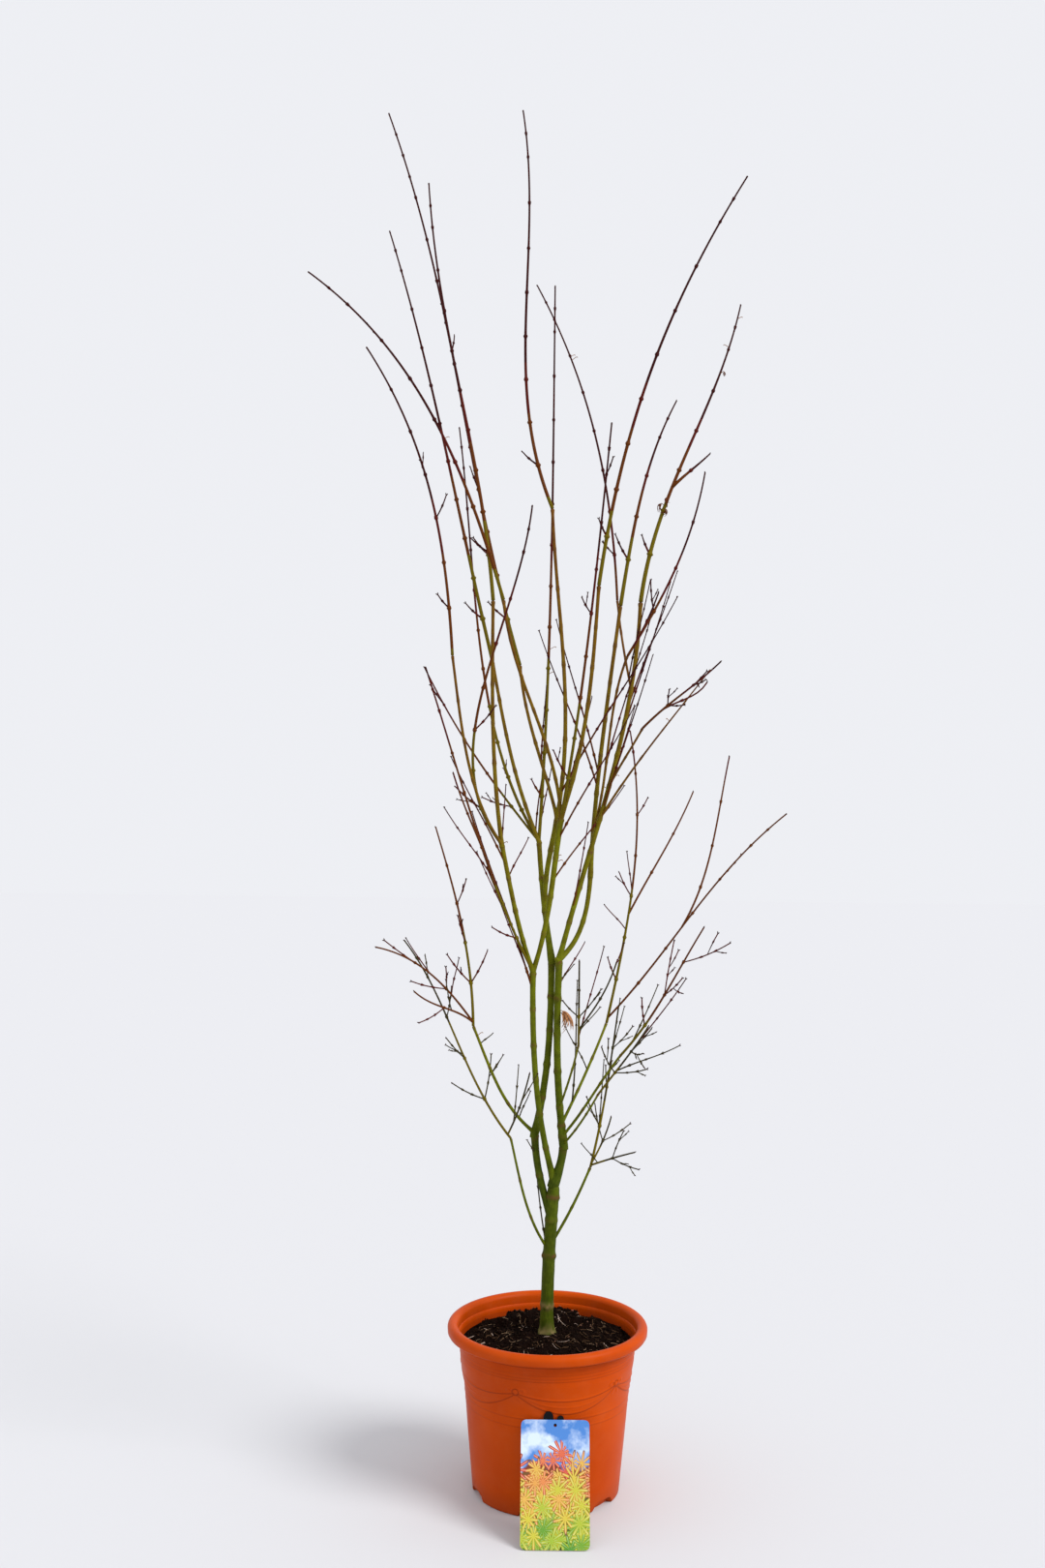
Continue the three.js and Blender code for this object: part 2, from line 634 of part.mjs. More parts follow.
// The clip that holds the card's top to the pot.
function makeClip() {
  const [left, right, top] = clip.bar;
  const outline = new THREE.Shape();
  outline.moveTo(left, 0);
  outline.lineTo(right, 0);
  outline.lineTo(right, top);
  for (const [centre, half, height] of [clip.smallLobe, clip.largeLobe]) {
    outline.lineTo(centre + half, top);
    outline.quadraticCurveTo(centre + half, height, centre, height);
    outline.quadraticCurveTo(centre - half, height, centre - half, top);
  }
  outline.lineTo(left, top);
  const geometry = new THREE.ExtrudeGeometry(outline, {
    depth: clip.thickness,
    bevelEnabled: false,
    curveSegments: 4,
  });
  geometry.rotateX(Math.PI / 2 + radians(clip.lean));
  geometry.translate(0, -outsideAt(clip.foot) - clip.gap, clip.foot);
  place('label-clip', toGeometry(toSolid(geometry)), finish.clip);
}

makePot();
makeCompost();
makeTrunk();
for (const row of limbRows) addLimb(...row);
for (const row of massRows) addMass(...row);
makeLabel();
makeClip();

export default model;
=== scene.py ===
import math
import bpy
import numpy as np
from mathutils import Matrix, Vector


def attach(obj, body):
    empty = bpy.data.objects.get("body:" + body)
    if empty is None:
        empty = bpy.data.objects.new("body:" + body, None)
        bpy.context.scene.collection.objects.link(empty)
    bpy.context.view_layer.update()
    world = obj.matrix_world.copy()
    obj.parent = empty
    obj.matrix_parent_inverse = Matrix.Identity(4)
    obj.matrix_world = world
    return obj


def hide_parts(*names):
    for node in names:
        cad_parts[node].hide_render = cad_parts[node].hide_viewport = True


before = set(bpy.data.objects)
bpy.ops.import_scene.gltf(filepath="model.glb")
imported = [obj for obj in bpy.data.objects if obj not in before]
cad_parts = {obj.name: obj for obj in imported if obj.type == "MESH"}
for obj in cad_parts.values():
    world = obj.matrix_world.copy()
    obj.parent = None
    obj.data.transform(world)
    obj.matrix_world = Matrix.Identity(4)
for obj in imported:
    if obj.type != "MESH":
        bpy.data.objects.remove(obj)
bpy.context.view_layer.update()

# Sizes in this script are millimetres, like the part's own. putMesh turns them into metres.
mm = 0.001


# Meshes from arrays

def putMesh(name, points, quads, tris=(), slots=None, marks=None, materials=()):
    # points (n, 3) in mm, quads (q, 4) and tris (t, 3); slots is a material number for each face,
    # the quads' first, and marks are named values for each vertex
    quads = np.asarray(quads, np.int32).reshape(-1, 4)
    tris = np.asarray(tris, np.int32).reshape(-1, 3)
    corners = np.concatenate([quads.ravel(), tris.ravel()])
    starts = np.concatenate([np.arange(len(quads)) * 4, quads.size + np.arange(len(tris)) * 3])
    mesh = bpy.data.meshes.new(name)
    mesh.vertices.add(len(points))
    mesh.vertices.foreach_set("co", (np.asarray(points, np.float32) * mm).ravel())
    mesh.loops.add(len(corners))
    mesh.loops.foreach_set("vertex_index", corners)
    mesh.polygons.add(len(starts))
    mesh.polygons.foreach_set("loop_start", starts.astype(np.int32))
    for material in materials:
        mesh.materials.append(material)
    if slots is not None:
        mesh.polygons.foreach_set("material_index", np.asarray(slots, np.int32))
    mesh.update(calc_edges=True)
    mesh.polygons.foreach_set("use_smooth", np.ones(len(starts), bool))
    for mark, values in (marks or {}).items():
        layer = mesh.attributes.new(mark, "FLOAT", "POINT")
        layer.data.foreach_set("value", np.asarray(values, np.float32).ravel())
    mesh.validate()
    piece = bpy.data.objects.new(name, mesh)
    bpy.context.scene.collection.objects.link(piece)
    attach(piece, "root")
    return piece


def gridFaces(rows, columns, closed=True):
    # quads of a grid of points, row after row; closed joins the last column to the first
    across = np.arange(columns if closed else columns - 1)
    row, column = np.meshgrid(np.arange(rows - 1), across, indexing="ij")
    after = (column + 1) % columns
    return np.stack([row * columns + column, row * columns + after,
                     (row + 1) * columns + after, (row + 1) * columns + column], -1).reshape(-1, 4)


def fanFaces(middle, ring, inward=False):
    # triangles from one middle point to each side of a closed ring of points
    after = np.roll(ring, -1)
    sides = (after, ring) if inward else (ring, after)
    return np.stack([np.full_like(ring, middle), *sides], -1)


def waves(points, size, seed, count=9):
    # a soft random height, mostly from -1 to 1: twice the mean of sine waves that run in random
    # directions, each of about the given size in mm
    rng = np.random.default_rng(seed)
    ways = rng.normal(size=(count, points.shape[-1]))
    lengths = np.linalg.norm(ways, axis=1, keepdims=True)
    ways *= (2 * np.pi / size) * rng.uniform(0.6, 1.5, (count, 1)) / lengths
    return np.sin(points @ ways.T + rng.uniform(0, 2 * np.pi, count)).mean(-1) * 2


def hump(value, width):
    # a smooth hump: e to the power of minus the square of value over width
    return np.exp(-(value / width) ** 2)


# The tree's rule, the same as the part's: cubic limbs, then twigs from a seeded number series

trunkShape = {"foot": (-1.5, 0), "fork": (8, 0), "forkHeight": 499, "footLean": 0, "tipLean": 4,
              "footDiameter": 21, "forkDiameter": 19.4, "flare": 4.5, "flareHeight": 11, "lobes": 5,
              "lobeDepth": 0.12, "start": 254}

limbShape = {"handle": 0.36, "collarFade": 1.6, "knotFade": 1.2, "ringGap": 36}

tipTop = 0
# name, parent, leaves at height, reach, bearing, tip height, lean at foot and at tip, thickness at
# foot and at tip, turn at the foot
limbRows = [
    ("stem-left", "trunk", 443, 29, 168, 577, 21, 2, 11.6, 11.4, 0),
    ("stem-right", "trunk", tipTop, 14, 352, 561, 20, 2, 12.2, 12, 0),
    ("stem-middle", "trunk", tipTop, 41, 202, 840, 17, 0, 9.6, 9, 0),
    ("left-upper-stem", "stem-left", tipTop, 25, 19, 855, 14, 0, 11, 10.4, 0),
    ("right-upper-stem", "stem-right", tipTop, 11, 159, 858, 8, -2, 11.6, 11, 0),
    ("low-left-limb", "trunk", 387, 75, 212, 579, 38, 15, 4.6, 3.6, 0),
    ("low-right-limb", "trunk", 395, 73, 27, 515, 38, 26, 5, 4, 0),
    ("left-bough", "stem-left", tipTop, 112, 208, 758, 52, 24, 5.4, 4.2, 0),
    ("right-bough", "right-upper-stem", 592, 118, 51, 740, 42, 34, 5, 4, 0),
    ("front-right-bough", "right-upper-stem", 574, 122, 316, 724, 44, 42, 4.6, 3.6, 0),
    ("low-front-bough", "stem-right", tipTop, 132, 292, 670, 56, 46, 3.8, 3.2, 0),
    ("inner-bough", "right-upper-stem", 620, 112, 283, 742, 46, 36, 3.8, 3.2, 0),
    ("upper-left-bough", "stem-middle", tipTop, 69, 222, 1046, 26, 16, 7.6, 7, 0),
    ("heart-left-bough", "left-upper-stem", tipTop, 43, 121, 1041, 18, 8, 10.4, 7.6, 0),
    ("heart-bough", "stem-middle", tipTop, 42, 350, 1086, 18, 8, 7.4, 9.4, 0),
    ("heart-middle-bough", "heart-left-bough", 928, 39, 295, 1083, 9, 20, 8.4, 8.2, 180),
    ("heart-right-bough", "right-upper-stem", tipTop, 126, 13, 1426, 14.5, 2, 8.6, 6.2, 0),
    ("back-right-elbow", "right-upper-stem", tipTop, 57, 31, 991, 58, 3, 8, 7.4, 0),
    ("back-right-bough", "back-right-elbow", tipTop, 75, 53, 1422, 4, 12, 7.6, 5.8, 0),
    ("left-leader", "upper-left-bough", tipTop, 26, 132, 1423, 12, 0, 6.8, 5.2, 0),
    ("outer-left-leader", "upper-left-bough", tipTop, 125, 233, 1336, 48, 12, 4.8, 4, 0),
    ("back-left-leader", "heart-left-bough", tipTop, 88, 153, 1330, 26, 12, 6.4, 5.2, 0),
    ("top-leader", "heart-middle-bough", tipTop, 37, 110, 1572, 10, 8, 7, 5, -90),
    ("tall-right-leader", "heart-bough", tipTop, 66, 323, 1447, 22, 4, 7, 5.4, 0),
    ("tall-left-leader", "heart-middle-bough", tipTop, 90, 133, 1324, 20, 8, 5.6, 4.8, 0),
    ("sweeping-left-leader", "heart-bough", tipTop, 117, 217, 1422, 6, 8, 5.6, 4.6, 0),
    ("crossing-leader", "heart-right-bough", 1288, 94, 102, 1432, 40, 24, 4, 3.6, 0),
    ("front-right-leader", "back-right-bough", 1060, 101, 297, 1339, 30, 38, 4.4, 3.8, 0),
    ("right-side-bough", "heart-right-bough", 1133, 96, 299, 1228, 42, 44, 4, 3.4, 0),
    ("right-side-shoot", "heart-right-bough", 1082, 178, 338, 1320, 32, 38, 4, 1.9, 0),
]

# name, parent, stem thickness, leaders, width of the space, share of buds grown out, twig length,
# seed. A leader is reach, bearing, tip height, leans, where it parts, from which one, turn.
massRows = [
    ("low-left-twigs", "low-left-limb", 3.4, [(235, 140, 870, 52, 50), (112, 287, 704, 50, 34, 584, 0)],
     120, 0.5, 80, 3),
    ("low-right-twigs", "low-right-limb", 3.6, [(81, 56, 765, 26, 14), (85, 322, 553, 66, 70, 518, 0),
     (42, 40, 590, 40, 20, 521, 0)], 90, 0.6, 62, 11),
    ("left-twigs", "left-bough", 3.8, [(112, 126, 1063, 2, 30), (172, 212, 894, 38, 76, 764, 0),
     (140, 232, 830, 56, 54, 764, 0)], 90, 0.3, 62, 5),
    ("right-twigs", "right-bough", 3.8, [(42, 38, 1219, 16, -14), (286, 346, 1092, 42, 50, 748, 0),
     (137, 36, 1115, 34, 28, 916, 0), (108, 42, 1178, 42, 16, 903, 1)], 80, 0.12, 56, 17),
    ("front-right-twigs", "front-right-bough", 3.4, [(150, 320, 936, 44, 34)], 85, 0.5, 80, 23),
    ("low-front-twigs", "low-front-bough", 3, [(154, 295, 801, 50, 46)], 85, 0.55, 75, 29),
    ("inner-twigs", "inner-bough", 3, [(120, 268, 890, 38, 40), (70, 320, 880, 40, 20, 770, 0)],
     80, 0.4, 70, 31),
    ("left-front-twigs", "stem-middle", 3.6, [(265, 232, 1318, 38, 27), (150, 246, 1164, 34, 34, 985, 0)],
     80, 0.08, 50, 37),
    ("left-leader-twigs", "left-leader", 5, [(135, 144, 2078, 6, 5)], 80, 0.06, 38, 43),
    ("outer-left-twigs", "outer-left-leader", 3.8, [(143, 209, 1776, 4, 38)], 90, 0.08, 40, 47),
    ("upper-front-twigs", "upper-left-bough", 4.2, [(214, 281, 1549, 42, 30, 0, 0, -70)],
     90, 0.08, 46, 53),
    ("back-left-twigs", "back-left-leader", 5, [(205, 151, 2039, 16, 20)], 90, 0.06, 38, 59),
    ("rear-left-twigs", "heart-left-bough", 4.4, [(261, 123, 1729, 52, 14)], 90, 0.08, 42, 61),
    ("rear-low-twigs", "heart-left-bough", 3.4, [(234, 146, 1320, 46, 32)], 90, 0.08, 50, 67),
    ("centre-twigs", "heart-left-bough", 4.6, [(47, 70, 1933, 10, 0)], 90, 0.06, 42, 71),
    ("top-twigs", "top-leader", 4.7, [(57, 160, 2196, 24, 10)], 90, 0.05, 38, 73),
    ("tall-right-twigs", "tall-right-leader", 5, [(223, 339, 2047, 8, 34)], 90, 0.05, 38, 79),
    ("tall-left-twigs", "tall-left-leader", 4.6, [(246, 156, 2222, 18, 22)], 90, 0.05, 38, 83),
    ("sweeping-left-twigs", "sweeping-left-leader", 4.4, [(305, 199, 1890, 18, 58)], 90, 0.05, 38, 89),
    ("front-twigs", "heart-bough", 4.2, [(248, 284, 1668, 32, 18)], 90, 0.08, 50, 97),
    ("crossing-twigs", "crossing-leader", 3.4, [(181, 139, 1963, 4, 34)], 90, 0.06, 40, 101),
    ("front-right-leader-twigs", "front-right-leader", 3.6, [(115, 359, 1622, 31, 9),
     (45, 325, 1436, 34, 22, 1352, 0)], 90, 0.2, 56, 103),
    ("right-side-twigs", "right-side-bough", 3.2, [(148, 317, 1331, 50, 52),
     (80, 350, 1300, 40, 30, 1246, 0)], 80, 0.25, 50, 107),
    ("heart-right-twigs", "heart-right-bough", 5.8, [(186, 30, 1912, 8, 14),
     (60, 5, 1664, 44, 46, 1610, 0)], 90, 0.1, 44, 109),
    ("back-right-twigs", "back-right-bough", 5.4, [(129, 44, 1765, 12, 36)], 90, 0.1, 44, 113),
]

twigShape = {"tipDiameter": 2, "sideTipDiameter": 1.6, "footShare": 0.62, "sideLeaderShare": 0.78,
             "budGap": 70, "angle": 42, "straightens": 32, "rises": 0.12, "shortest": 0.55,
             "longest": 1.15, "twoNodesFrom": 45, "twoNodes": [0.36, 0.68], "oneNode": [0.55],
             "forkedFrom": 70, "forkAt": 0.5, "forkShare": 0.45, "forkThickness": 0.7,
             "clearance": 2.5, "clearOfOwn": 2, "clearOfOthers": 5}


def dice(seed):
    # a number series: each number is the last one times a fixed one, less whole turns of the modulus
    state = seed
    while True:
        state = state * 16807 % 2147483647
        yield state / 2147483647


def heading(lean, bearing):
    # the unit vector that leans so many degrees from upright, towards a compass bearing from +X
    lean, bearing = math.radians(lean), math.radians(bearing)
    return np.array([math.sin(lean) * math.cos(bearing),
                     math.sin(lean) * math.sin(bearing), math.cos(lean)])


def limbLine(foot, reach, bearing, top, footLean, tipLean, turn=0):
    # four control points of one cubic
    tip = foot + heading(90, bearing) * reach
    tip[2] = top
    handle = np.linalg.norm(tip - foot) * limbShape["handle"]
    return np.array([foot, foot + heading(footLean, bearing + turn) * handle,
                     tip - heading(tipLean, bearing) * handle, tip])


def along(lines, stations):
    # points and unit tangents of cubics: lines (..., 4, 3) at stations (..., r)
    t = np.asarray(stations, float)[..., None]
    a, b, c, d = (lines[..., k, None, :] for k in range(4))
    points = (1 - t) ** 3 * a + 3 * (1 - t) ** 2 * t * b + 3 * (1 - t) * t * t * c + t ** 3 * d
    ways = (1 - t) ** 2 * (b - a) + 2 * (1 - t) * t * (c - b) + t * t * (d - c)
    return points, ways / np.linalg.norm(ways, axis=-1, keepdims=True)


def placeAt(line, t):
    # the point and the unit tangent of one cubic at one station
    points, ways = along(line, [t])
    return points[0], ways[0]


def at(line, t):
    return placeAt(line, t)[0]


def lengthOf(line):
    return np.linalg.norm(np.diff(along(line, np.linspace(0, 1, 201))[0], axis=0), axis=1).sum()


def atHeight(line, height):
    # the station where a rising cubic passes a height, by halving
    low, high = 0, 1
    for step in range(30):
        middle = (low + high) / 2
        if at(line, middle)[2] < height:
            low = middle
        else:
            high = middle
    return low


def tapered(foot, tip, t):
    return foot + (tip - foot) * t


standing = {"points": [], "radii": [], "owners": []}  # samples of everything that has grown so far


def remember(owner, line, footRadius, tipRadius, count):
    t = np.linspace(0, 1, count + 1)
    standing["points"].append(along(line, t)[0])
    standing["radii"].append(tapered(footRadius, tipRadius, t))
    standing["owners"].append(np.full(count + 1, owner))


def isClear(line, radius, owner):
    # from three tenths of its way on, a twig stays clear of all that has grown, and further from
    # what isn't of its own mass
    points, radii, owners = (np.concatenate(standing[key]) for key in ("points", "radii", "owners"))
    own = along(line, np.arange(3, 11) / 10)[0]
    times = np.where(owners == owner, twigShape["clearOfOwn"], twigShape["clearOfOthers"])
    near = radii + radius + times * twigShape["clearance"]
    return not (((own[:, None] - points) ** 2).sum(-1) < near ** 2).any()


def keepsToSpace(line, leaders, width):
    # a mass's space reaches so far from its leaders, and no higher than they do
    spine = np.concatenate([along(leader, np.linspace(0, 1, 25))[0] for leader in leaders])
    own = along(line, np.arange(1, 5) / 4)[0]
    nearest = np.linalg.norm(own[:, None] - spine, axis=-1).min(1)
    return (nearest <= width).all() and (own[:, 2] <= spine[:, 2].max()).all()


def turnedAbout(vector, axis, angle):
    # what lies along the axis stays, and the rest turns round it by the angle
    return (vector * math.cos(angle) + np.cross(axis, vector) * math.sin(angle)
            + axis * (axis @ vector) * (1 - math.cos(angle)))


def squareTo(way):
    # the unit vector square to a direction and nearest to +Y
    across = np.array([0, 1, 0]) - way * way[1]
    return across / np.linalg.norm(across)


def twigLine(carrier, t, side, length, angle):
    # a cubic that leaves its carrier at one angle and ends at a smaller one, turned a little up
    foot, way = placeAt(carrier, t)
    across = turnedAbout(squareTo(way), way, side)
    angle, ending = math.radians(angle), math.radians(twigShape["straightens"])
    sets = way * math.cos(angle) + across * math.sin(angle)
    ends = way * math.cos(ending) + across * math.sin(ending)
    ends[2] += twigShape["rises"]
    ends /= np.linalg.norm(ends)
    tip = foot + (sets + ends) * length * 0.5
    handle = length * limbShape["handle"]
    return np.array([foot, foot + sets * handle, tip - ends * handle, tip])


limbs = {}       # name to line, thickness at foot and tip, and whether it goes on from a tip
childrenAt = {}  # name to the stations where something leaves it
parents = {"trunk": None}


def growTrunk():
    shape = trunkShape
    start = np.array([*shape["foot"], shape["start"]], float)
    reach = shape["fork"][0] - shape["foot"][0]
    line = limbLine(start, reach, 0, shape["forkHeight"], shape["footLean"], shape["tipLean"])
    limbs["trunk"] = (line, shape["footDiameter"], shape["forkDiameter"], True)
    remember("trunk", line, shape["footDiameter"] / 2, shape["forkDiameter"] / 2, 24)


def growLimb(name, parent, height, reach, bearing, top, footLean, tipLean, footWide, tipWide, turn):
    station = 1 if height == tipTop else atHeight(limbs[parent][0], height)
    childrenAt.setdefault(parent, []).append(station)
    parents[name] = parent
    line = limbLine(at(limbs[parent][0], station), reach, bearing, top, footLean, tipLean, turn)
    limbs[name] = (line, footWide, tipWide, height == tipTop)
    count = int(np.clip(round(lengthOf(line) / limbShape["ringGap"]), 6, 14))
    remember(name, line, footWide / 2, tipWide / 2, count * 2)


def growLeaders(parent, rows):
    # the first leader goes on from the bough's tip, and each other from the one that its row names
    leaders = []
    for reach, bearing, top, footLean, tipLean, *more in rows:
        foot = at(limbs[parent][0], 1)
        if leaders:
            height, number = more[:2]
            foot = at(leaders[number], atHeight(leaders[number], height))
        leaders.append(limbLine(foot, reach, bearing, top, footLean, tipLean, *more[2:]))
    return leaders


def growTwig(name, mass, leader, t, side, size, swing):
    # One twig at a bud, and its fork where it is long enough. Either is left out where it would
    # leave the mass's space or come near something that has grown.
    shape = twigShape
    long = mass["twigLength"] * (shape["shortest"] * (1 - size) + shape["longest"] * size)
    line = twigLine(leader["line"], t, side, long, shape["angle"])
    wide = leader["foot"] * (1 - t) + shape["tipDiameter"] * t
    thick = max(wide * shape["footShare"], shape["sideTipDiameter"])
    if not keepsToSpace(line, mass["leaders"], mass["width"]) or not isClear(line, thick / 2, name):
        return
    nodes = shape["twoNodes"] if long > shape["twoNodesFrom"] else shape["oneNode"]
    mass["twigs"].append({"line": line, "foot": thick, "tip": shape["sideTipDiameter"],
                          "kind": "twig", "buds": nodes, "phase": swing * 3})
    remember(name, line, thick / 2, shape["sideTipDiameter"] / 2, 4)
    if long < shape["forkedFrom"]:
        return
    fork = twigLine(line, shape["forkAt"], swing * 6, long * shape["forkShare"], shape["angle"])
    if not keepsToSpace(fork, mass["leaders"], mass["width"]) or not isClear(fork, 1, name):
        return
    forkThick = thick * shape["forkThickness"]
    mass["twigs"].append({"line": fork, "foot": forkThick, "tip": shape["sideTipDiameter"],
                          "kind": "twig", "buds": [0.6], "phase": swing * 5})
    remember(name, fork, forkThick / 2, shape["sideTipDiameter"] / 2, 4)


def growMass(name, parent, stemWide, leaderRows, width, grown, twigLength, seed):
    # Leaders first. Then at each of their nodes the two buds of a pair, a quarter turn on from the
    # pair before: three throws say whether a bud grows out, how long, and how far round it turns.
    shape = twigShape
    throw = dice(seed)
    childrenAt.setdefault(parent, []).append(1)
    leaders = growLeaders(parent, leaderRows)
    mass = {"twigs": [], "leaders": leaders, "width": width, "twigLength": twigLength}
    counts = [max(round(lengthOf(leader) / shape["budGap"]), 2) for leader in leaders]
    for i, (leader, count) in enumerate(zip(leaders, counts)):
        wide = stemWide if i == 0 else stemWide * shape["sideLeaderShare"]
        mass["twigs"].append({"line": leader, "foot": wide, "tip": shape["tipDiameter"],
                              "kind": "leader", "buds": list(np.arange(1, count) / count), "phase": 0})
        samples = count * (4 if count < 4 else 2)
        remember(name, leader, wide / 2, shape["tipDiameter"] / 2, samples)
    for leader, count in zip(mass["twigs"][:len(leaders)], counts):
        for node in range(1, count):
            for half in (0, math.pi):
                bud, size, swing = next(throw), next(throw), next(throw)
                if bud <= grown:
                    side = node * math.pi / 2 + half + swing - 0.5
                    growTwig(name, mass, leader, node / count, side, size, swing)
    return mass


growTrunk()
for row in limbRows:
    growLimb(*row)
masses = {row[0]: growMass(*row) for row in massRows}


# Thin shoots that leave the limbs and leaders between the masses: what they leave (a limb, or a mass
# and the number of its leader), at what height, their tip, and their thickness at the foot
shootRows = [
    ("stem-middle", 809, (-128, -55, 1096), 2.6), ("stem-middle", 814, (-84, -45, 957), 2.2),
    (("left-front-twigs", 0), 847, (-104, -80, 1012), 2.0),
    (("left-front-twigs", 1), 997, (-167, -150, 1108), 1.9),
    ("upper-left-bough", 1013, (-159, -115, 1183), 2.4),
    ("upper-left-bough", 1043, (-76, -33, 1136), 1.9), ("upper-left-bough", 993, (-40, -32, 1053), 2.0),
    (("left-front-twigs", 0), 917, (-119, -89, 1036), 1.9),
    ("right-upper-stem", 813, (53, 42, 879), 2.1), ("right-upper-stem", 819, (35, 22, 846), 1.7),
    ("right-bough", 623, (40, -29, 829), 2.3), (("inner-twigs", 0), 756, (78, -99, 893), 1.8),
    (("inner-twigs", 0), 766, (73, -99, 799), 1.6), ("right-bough", 670, (23, 20, 746), 1.8),
    (("low-right-twigs", 0), 615, (110, 17, 793), 2.0),
    (("low-front-twigs", 0), 717, (185, -238, 769), 2.0),
    (("front-right-twigs", 0), 746, (163, -79, 831), 1.9),
    (("low-front-twigs", 0), 755, (189, -277, 874), 1.9),
    (("low-right-twigs", 0), 568, (89, 92, 678), 1.9),
    (("low-right-twigs", 1), 524, (53, 61, 546), 1.6),
    (("low-right-twigs", 0), 698, (122, 106, 764), 1.7), ("low-left-limb", 394, (-26, 17, 559), 2.2),
    (("low-left-twigs", 1), 611, (-51, -45, 696), 1.8),
    (("low-left-twigs", 1), 653, (-22, -85, 691), 1.6), ("left-bough", 681, (-76, -21, 707), 1.8),
    ("left-bough", 729, (-93, -31, 743), 1.7), ("left-bough", 604, (-32, 2, 644), 1.8),
    ("stem-left", 540, (-36, -15, 570), 1.8), (("left-twigs", 1), 811, (-145, -87, 871), 1.7),
    (("left-twigs", 2), 790, (-164, -108, 840), 1.7),
    (("low-left-twigs", 0), 698, (-168, 16, 715), 1.6), (("left-twigs", 1), 847, (-226, -98, 902), 1.7),
    ("heart-bough", 985, (113, 39, 1133), 2.4), ("heart-bough", 1049, (119, -112, 1264), 2.6),
    ("heart-right-bough", 931, (54, -23, 1078), 2.2), ("top-leader", 1122, (179, -141, 1428), 2.8),
    ("heart-right-bough", 1093, (150, -46, 1342), 2.5),
    ("heart-right-bough", 1214, (184, 64, 1460), 2.4),
    ("back-right-bough", 1131, (-27, -17, 1378), 2.7), ("back-right-bough", 1150, (2, 105, 1399), 2.6),
    ("back-left-leader", 1054, (-11, 104, 1196), 2.2),
    (("centre-twigs", 0), 1065, (-1, 125, 1166), 2.0), ("tall-left-leader", 1170, (-14, 3, 1291), 2.2),
    ("heart-right-bough", 1099, (132, 103, 1260), 2.3),
    ("front-right-leader", 1170, (157, 43, 1422), 2.2), (("front-twigs", 0), 1109, (59, 24, 1275), 2.2),
    ("crossing-leader", 1306, (147, 1, 1458), 2.0), ("heart-right-bough", 1257, (194, 55, 1477), 2.3),
    (("inner-twigs", 1), 862, (105, -161, 907), 1.6), (("right-twigs", 0), 891, (88, 124, 930), 1.7),
    (("right-twigs", 0), 954, (124, 131, 1018), 1.7),
]
shootShape = {"tipDiameter": 1.3, "footTurn": 0.16, "tipTurn": 0.10}


def hostLine(host):
    return limbs[host][0] if isinstance(host, str) else masses[host[0]]["leaders"][host[1]]


def hostPoint(host, height):
    return at(hostLine(host), atHeight(hostLine(host), height))


def shootLine(host, height, tip):
    # a cubic that leaves its host a little more along it than its chord, and ends more upright
    foot, way = placeAt(hostLine(host), atHeight(hostLine(host), height))
    chord = np.array(tip, float) - foot
    length = np.linalg.norm(chord)
    sets = chord / length + way * shootShape["footTurn"]
    ends = chord / length + np.array([0, 0, shootShape["tipTurn"]])
    handle = length * limbShape["handle"]
    return np.array([foot, foot + sets * handle, foot + chord - ends * handle, foot + chord])


shoots = [{"line": shootLine(host, height, tip), "foot": thick, "tip": shootShape["tipDiameter"]}
          for host, height, tip, thick in shootRows]
print("tree worked out:", len(limbs), "limbs,", sum(len(m["twigs"]) for m in masses.values()), "twigs")


# Tubes along many cubics at once

tubeEnds = (0.3, 0.7)  # how far a tube's two end points stand out past its end rings, in radii


def tubes(lines, stations, radii, sides):
    # A ring round each station: point + side * cos + front * sin, times the radius there, with
    # side square to the line and towards +Y. Both ends close on a point. radii is (n, r) or (n, r, s).
    count, rings = stations.shape
    points, ways = along(lines, stations)
    side = np.array([0, 1, 0]) - ways * ways[..., 1:2]
    side /= np.linalg.norm(side, axis=-1, keepdims=True)
    front = np.cross(side, ways) * -1
    angle = np.arange(sides) * 2 * np.pi / sides
    radii = radii[..., None] if radii.ndim == 2 else radii
    out = side[:, :, None] * np.cos(angle)[:, None] + front[:, :, None] * np.sin(angle)[:, None]
    skin = points[:, :, None] + out * radii[..., None]
    ends = np.stack([points[:, 0] - ways[:, 0] * radii[:, 0].mean(-1)[:, None] * tubeEnds[0],
                     points[:, -1] + ways[:, -1] * radii[:, -1].mean(-1)[:, None] * tubeEnds[1]], 1)
    every = np.concatenate([skin.reshape(count, -1, 3), ends], 1)
    size = rings * sides + 2
    base = np.arange(count)[:, None, None] * size
    ring = np.arange(sides)
    tris = np.concatenate([fanFaces(size - 2, ring, inward=True),
                           fanFaces(size - 1, ring + (rings - 1) * sides)])
    ringOf = np.concatenate([np.repeat(np.arange(rings), sides), [0, rings - 1]])
    return {"points": every.reshape(-1, 3), "quads": (gridFaces(rings, sides)[None] + base).reshape(-1, 4),
            "tris": (tris[None] + base).reshape(-1, 3), "ring": np.tile(ringOf, count),
            "faceRing": np.repeat(np.arange(rings - 1), sides)}


def joined(parts):
    # several meshes as one: points, quads, tris, and the material number of each face, quads first
    offsets = np.cumsum([0] + [len(part["points"]) for part in parts])
    return (np.concatenate([part["points"] for part in parts]),
            np.concatenate([part["quads"] + offset for part, offset in zip(parts, offsets)]),
            np.concatenate([part["tris"] + offset for part, offset in zip(parts, offsets)]),
            np.concatenate([part["quadSlots"] for part in parts] + [part["triSlots"] for part in parts]))


# Shader groups: colours, masks and heights only

def nodeIn(tree, kind, at=(0, 0), **values):
    node = tree.nodes.new(kind)
    node.location = at
    for key, value in values.items():
        setattr(node, key, value)
    return node


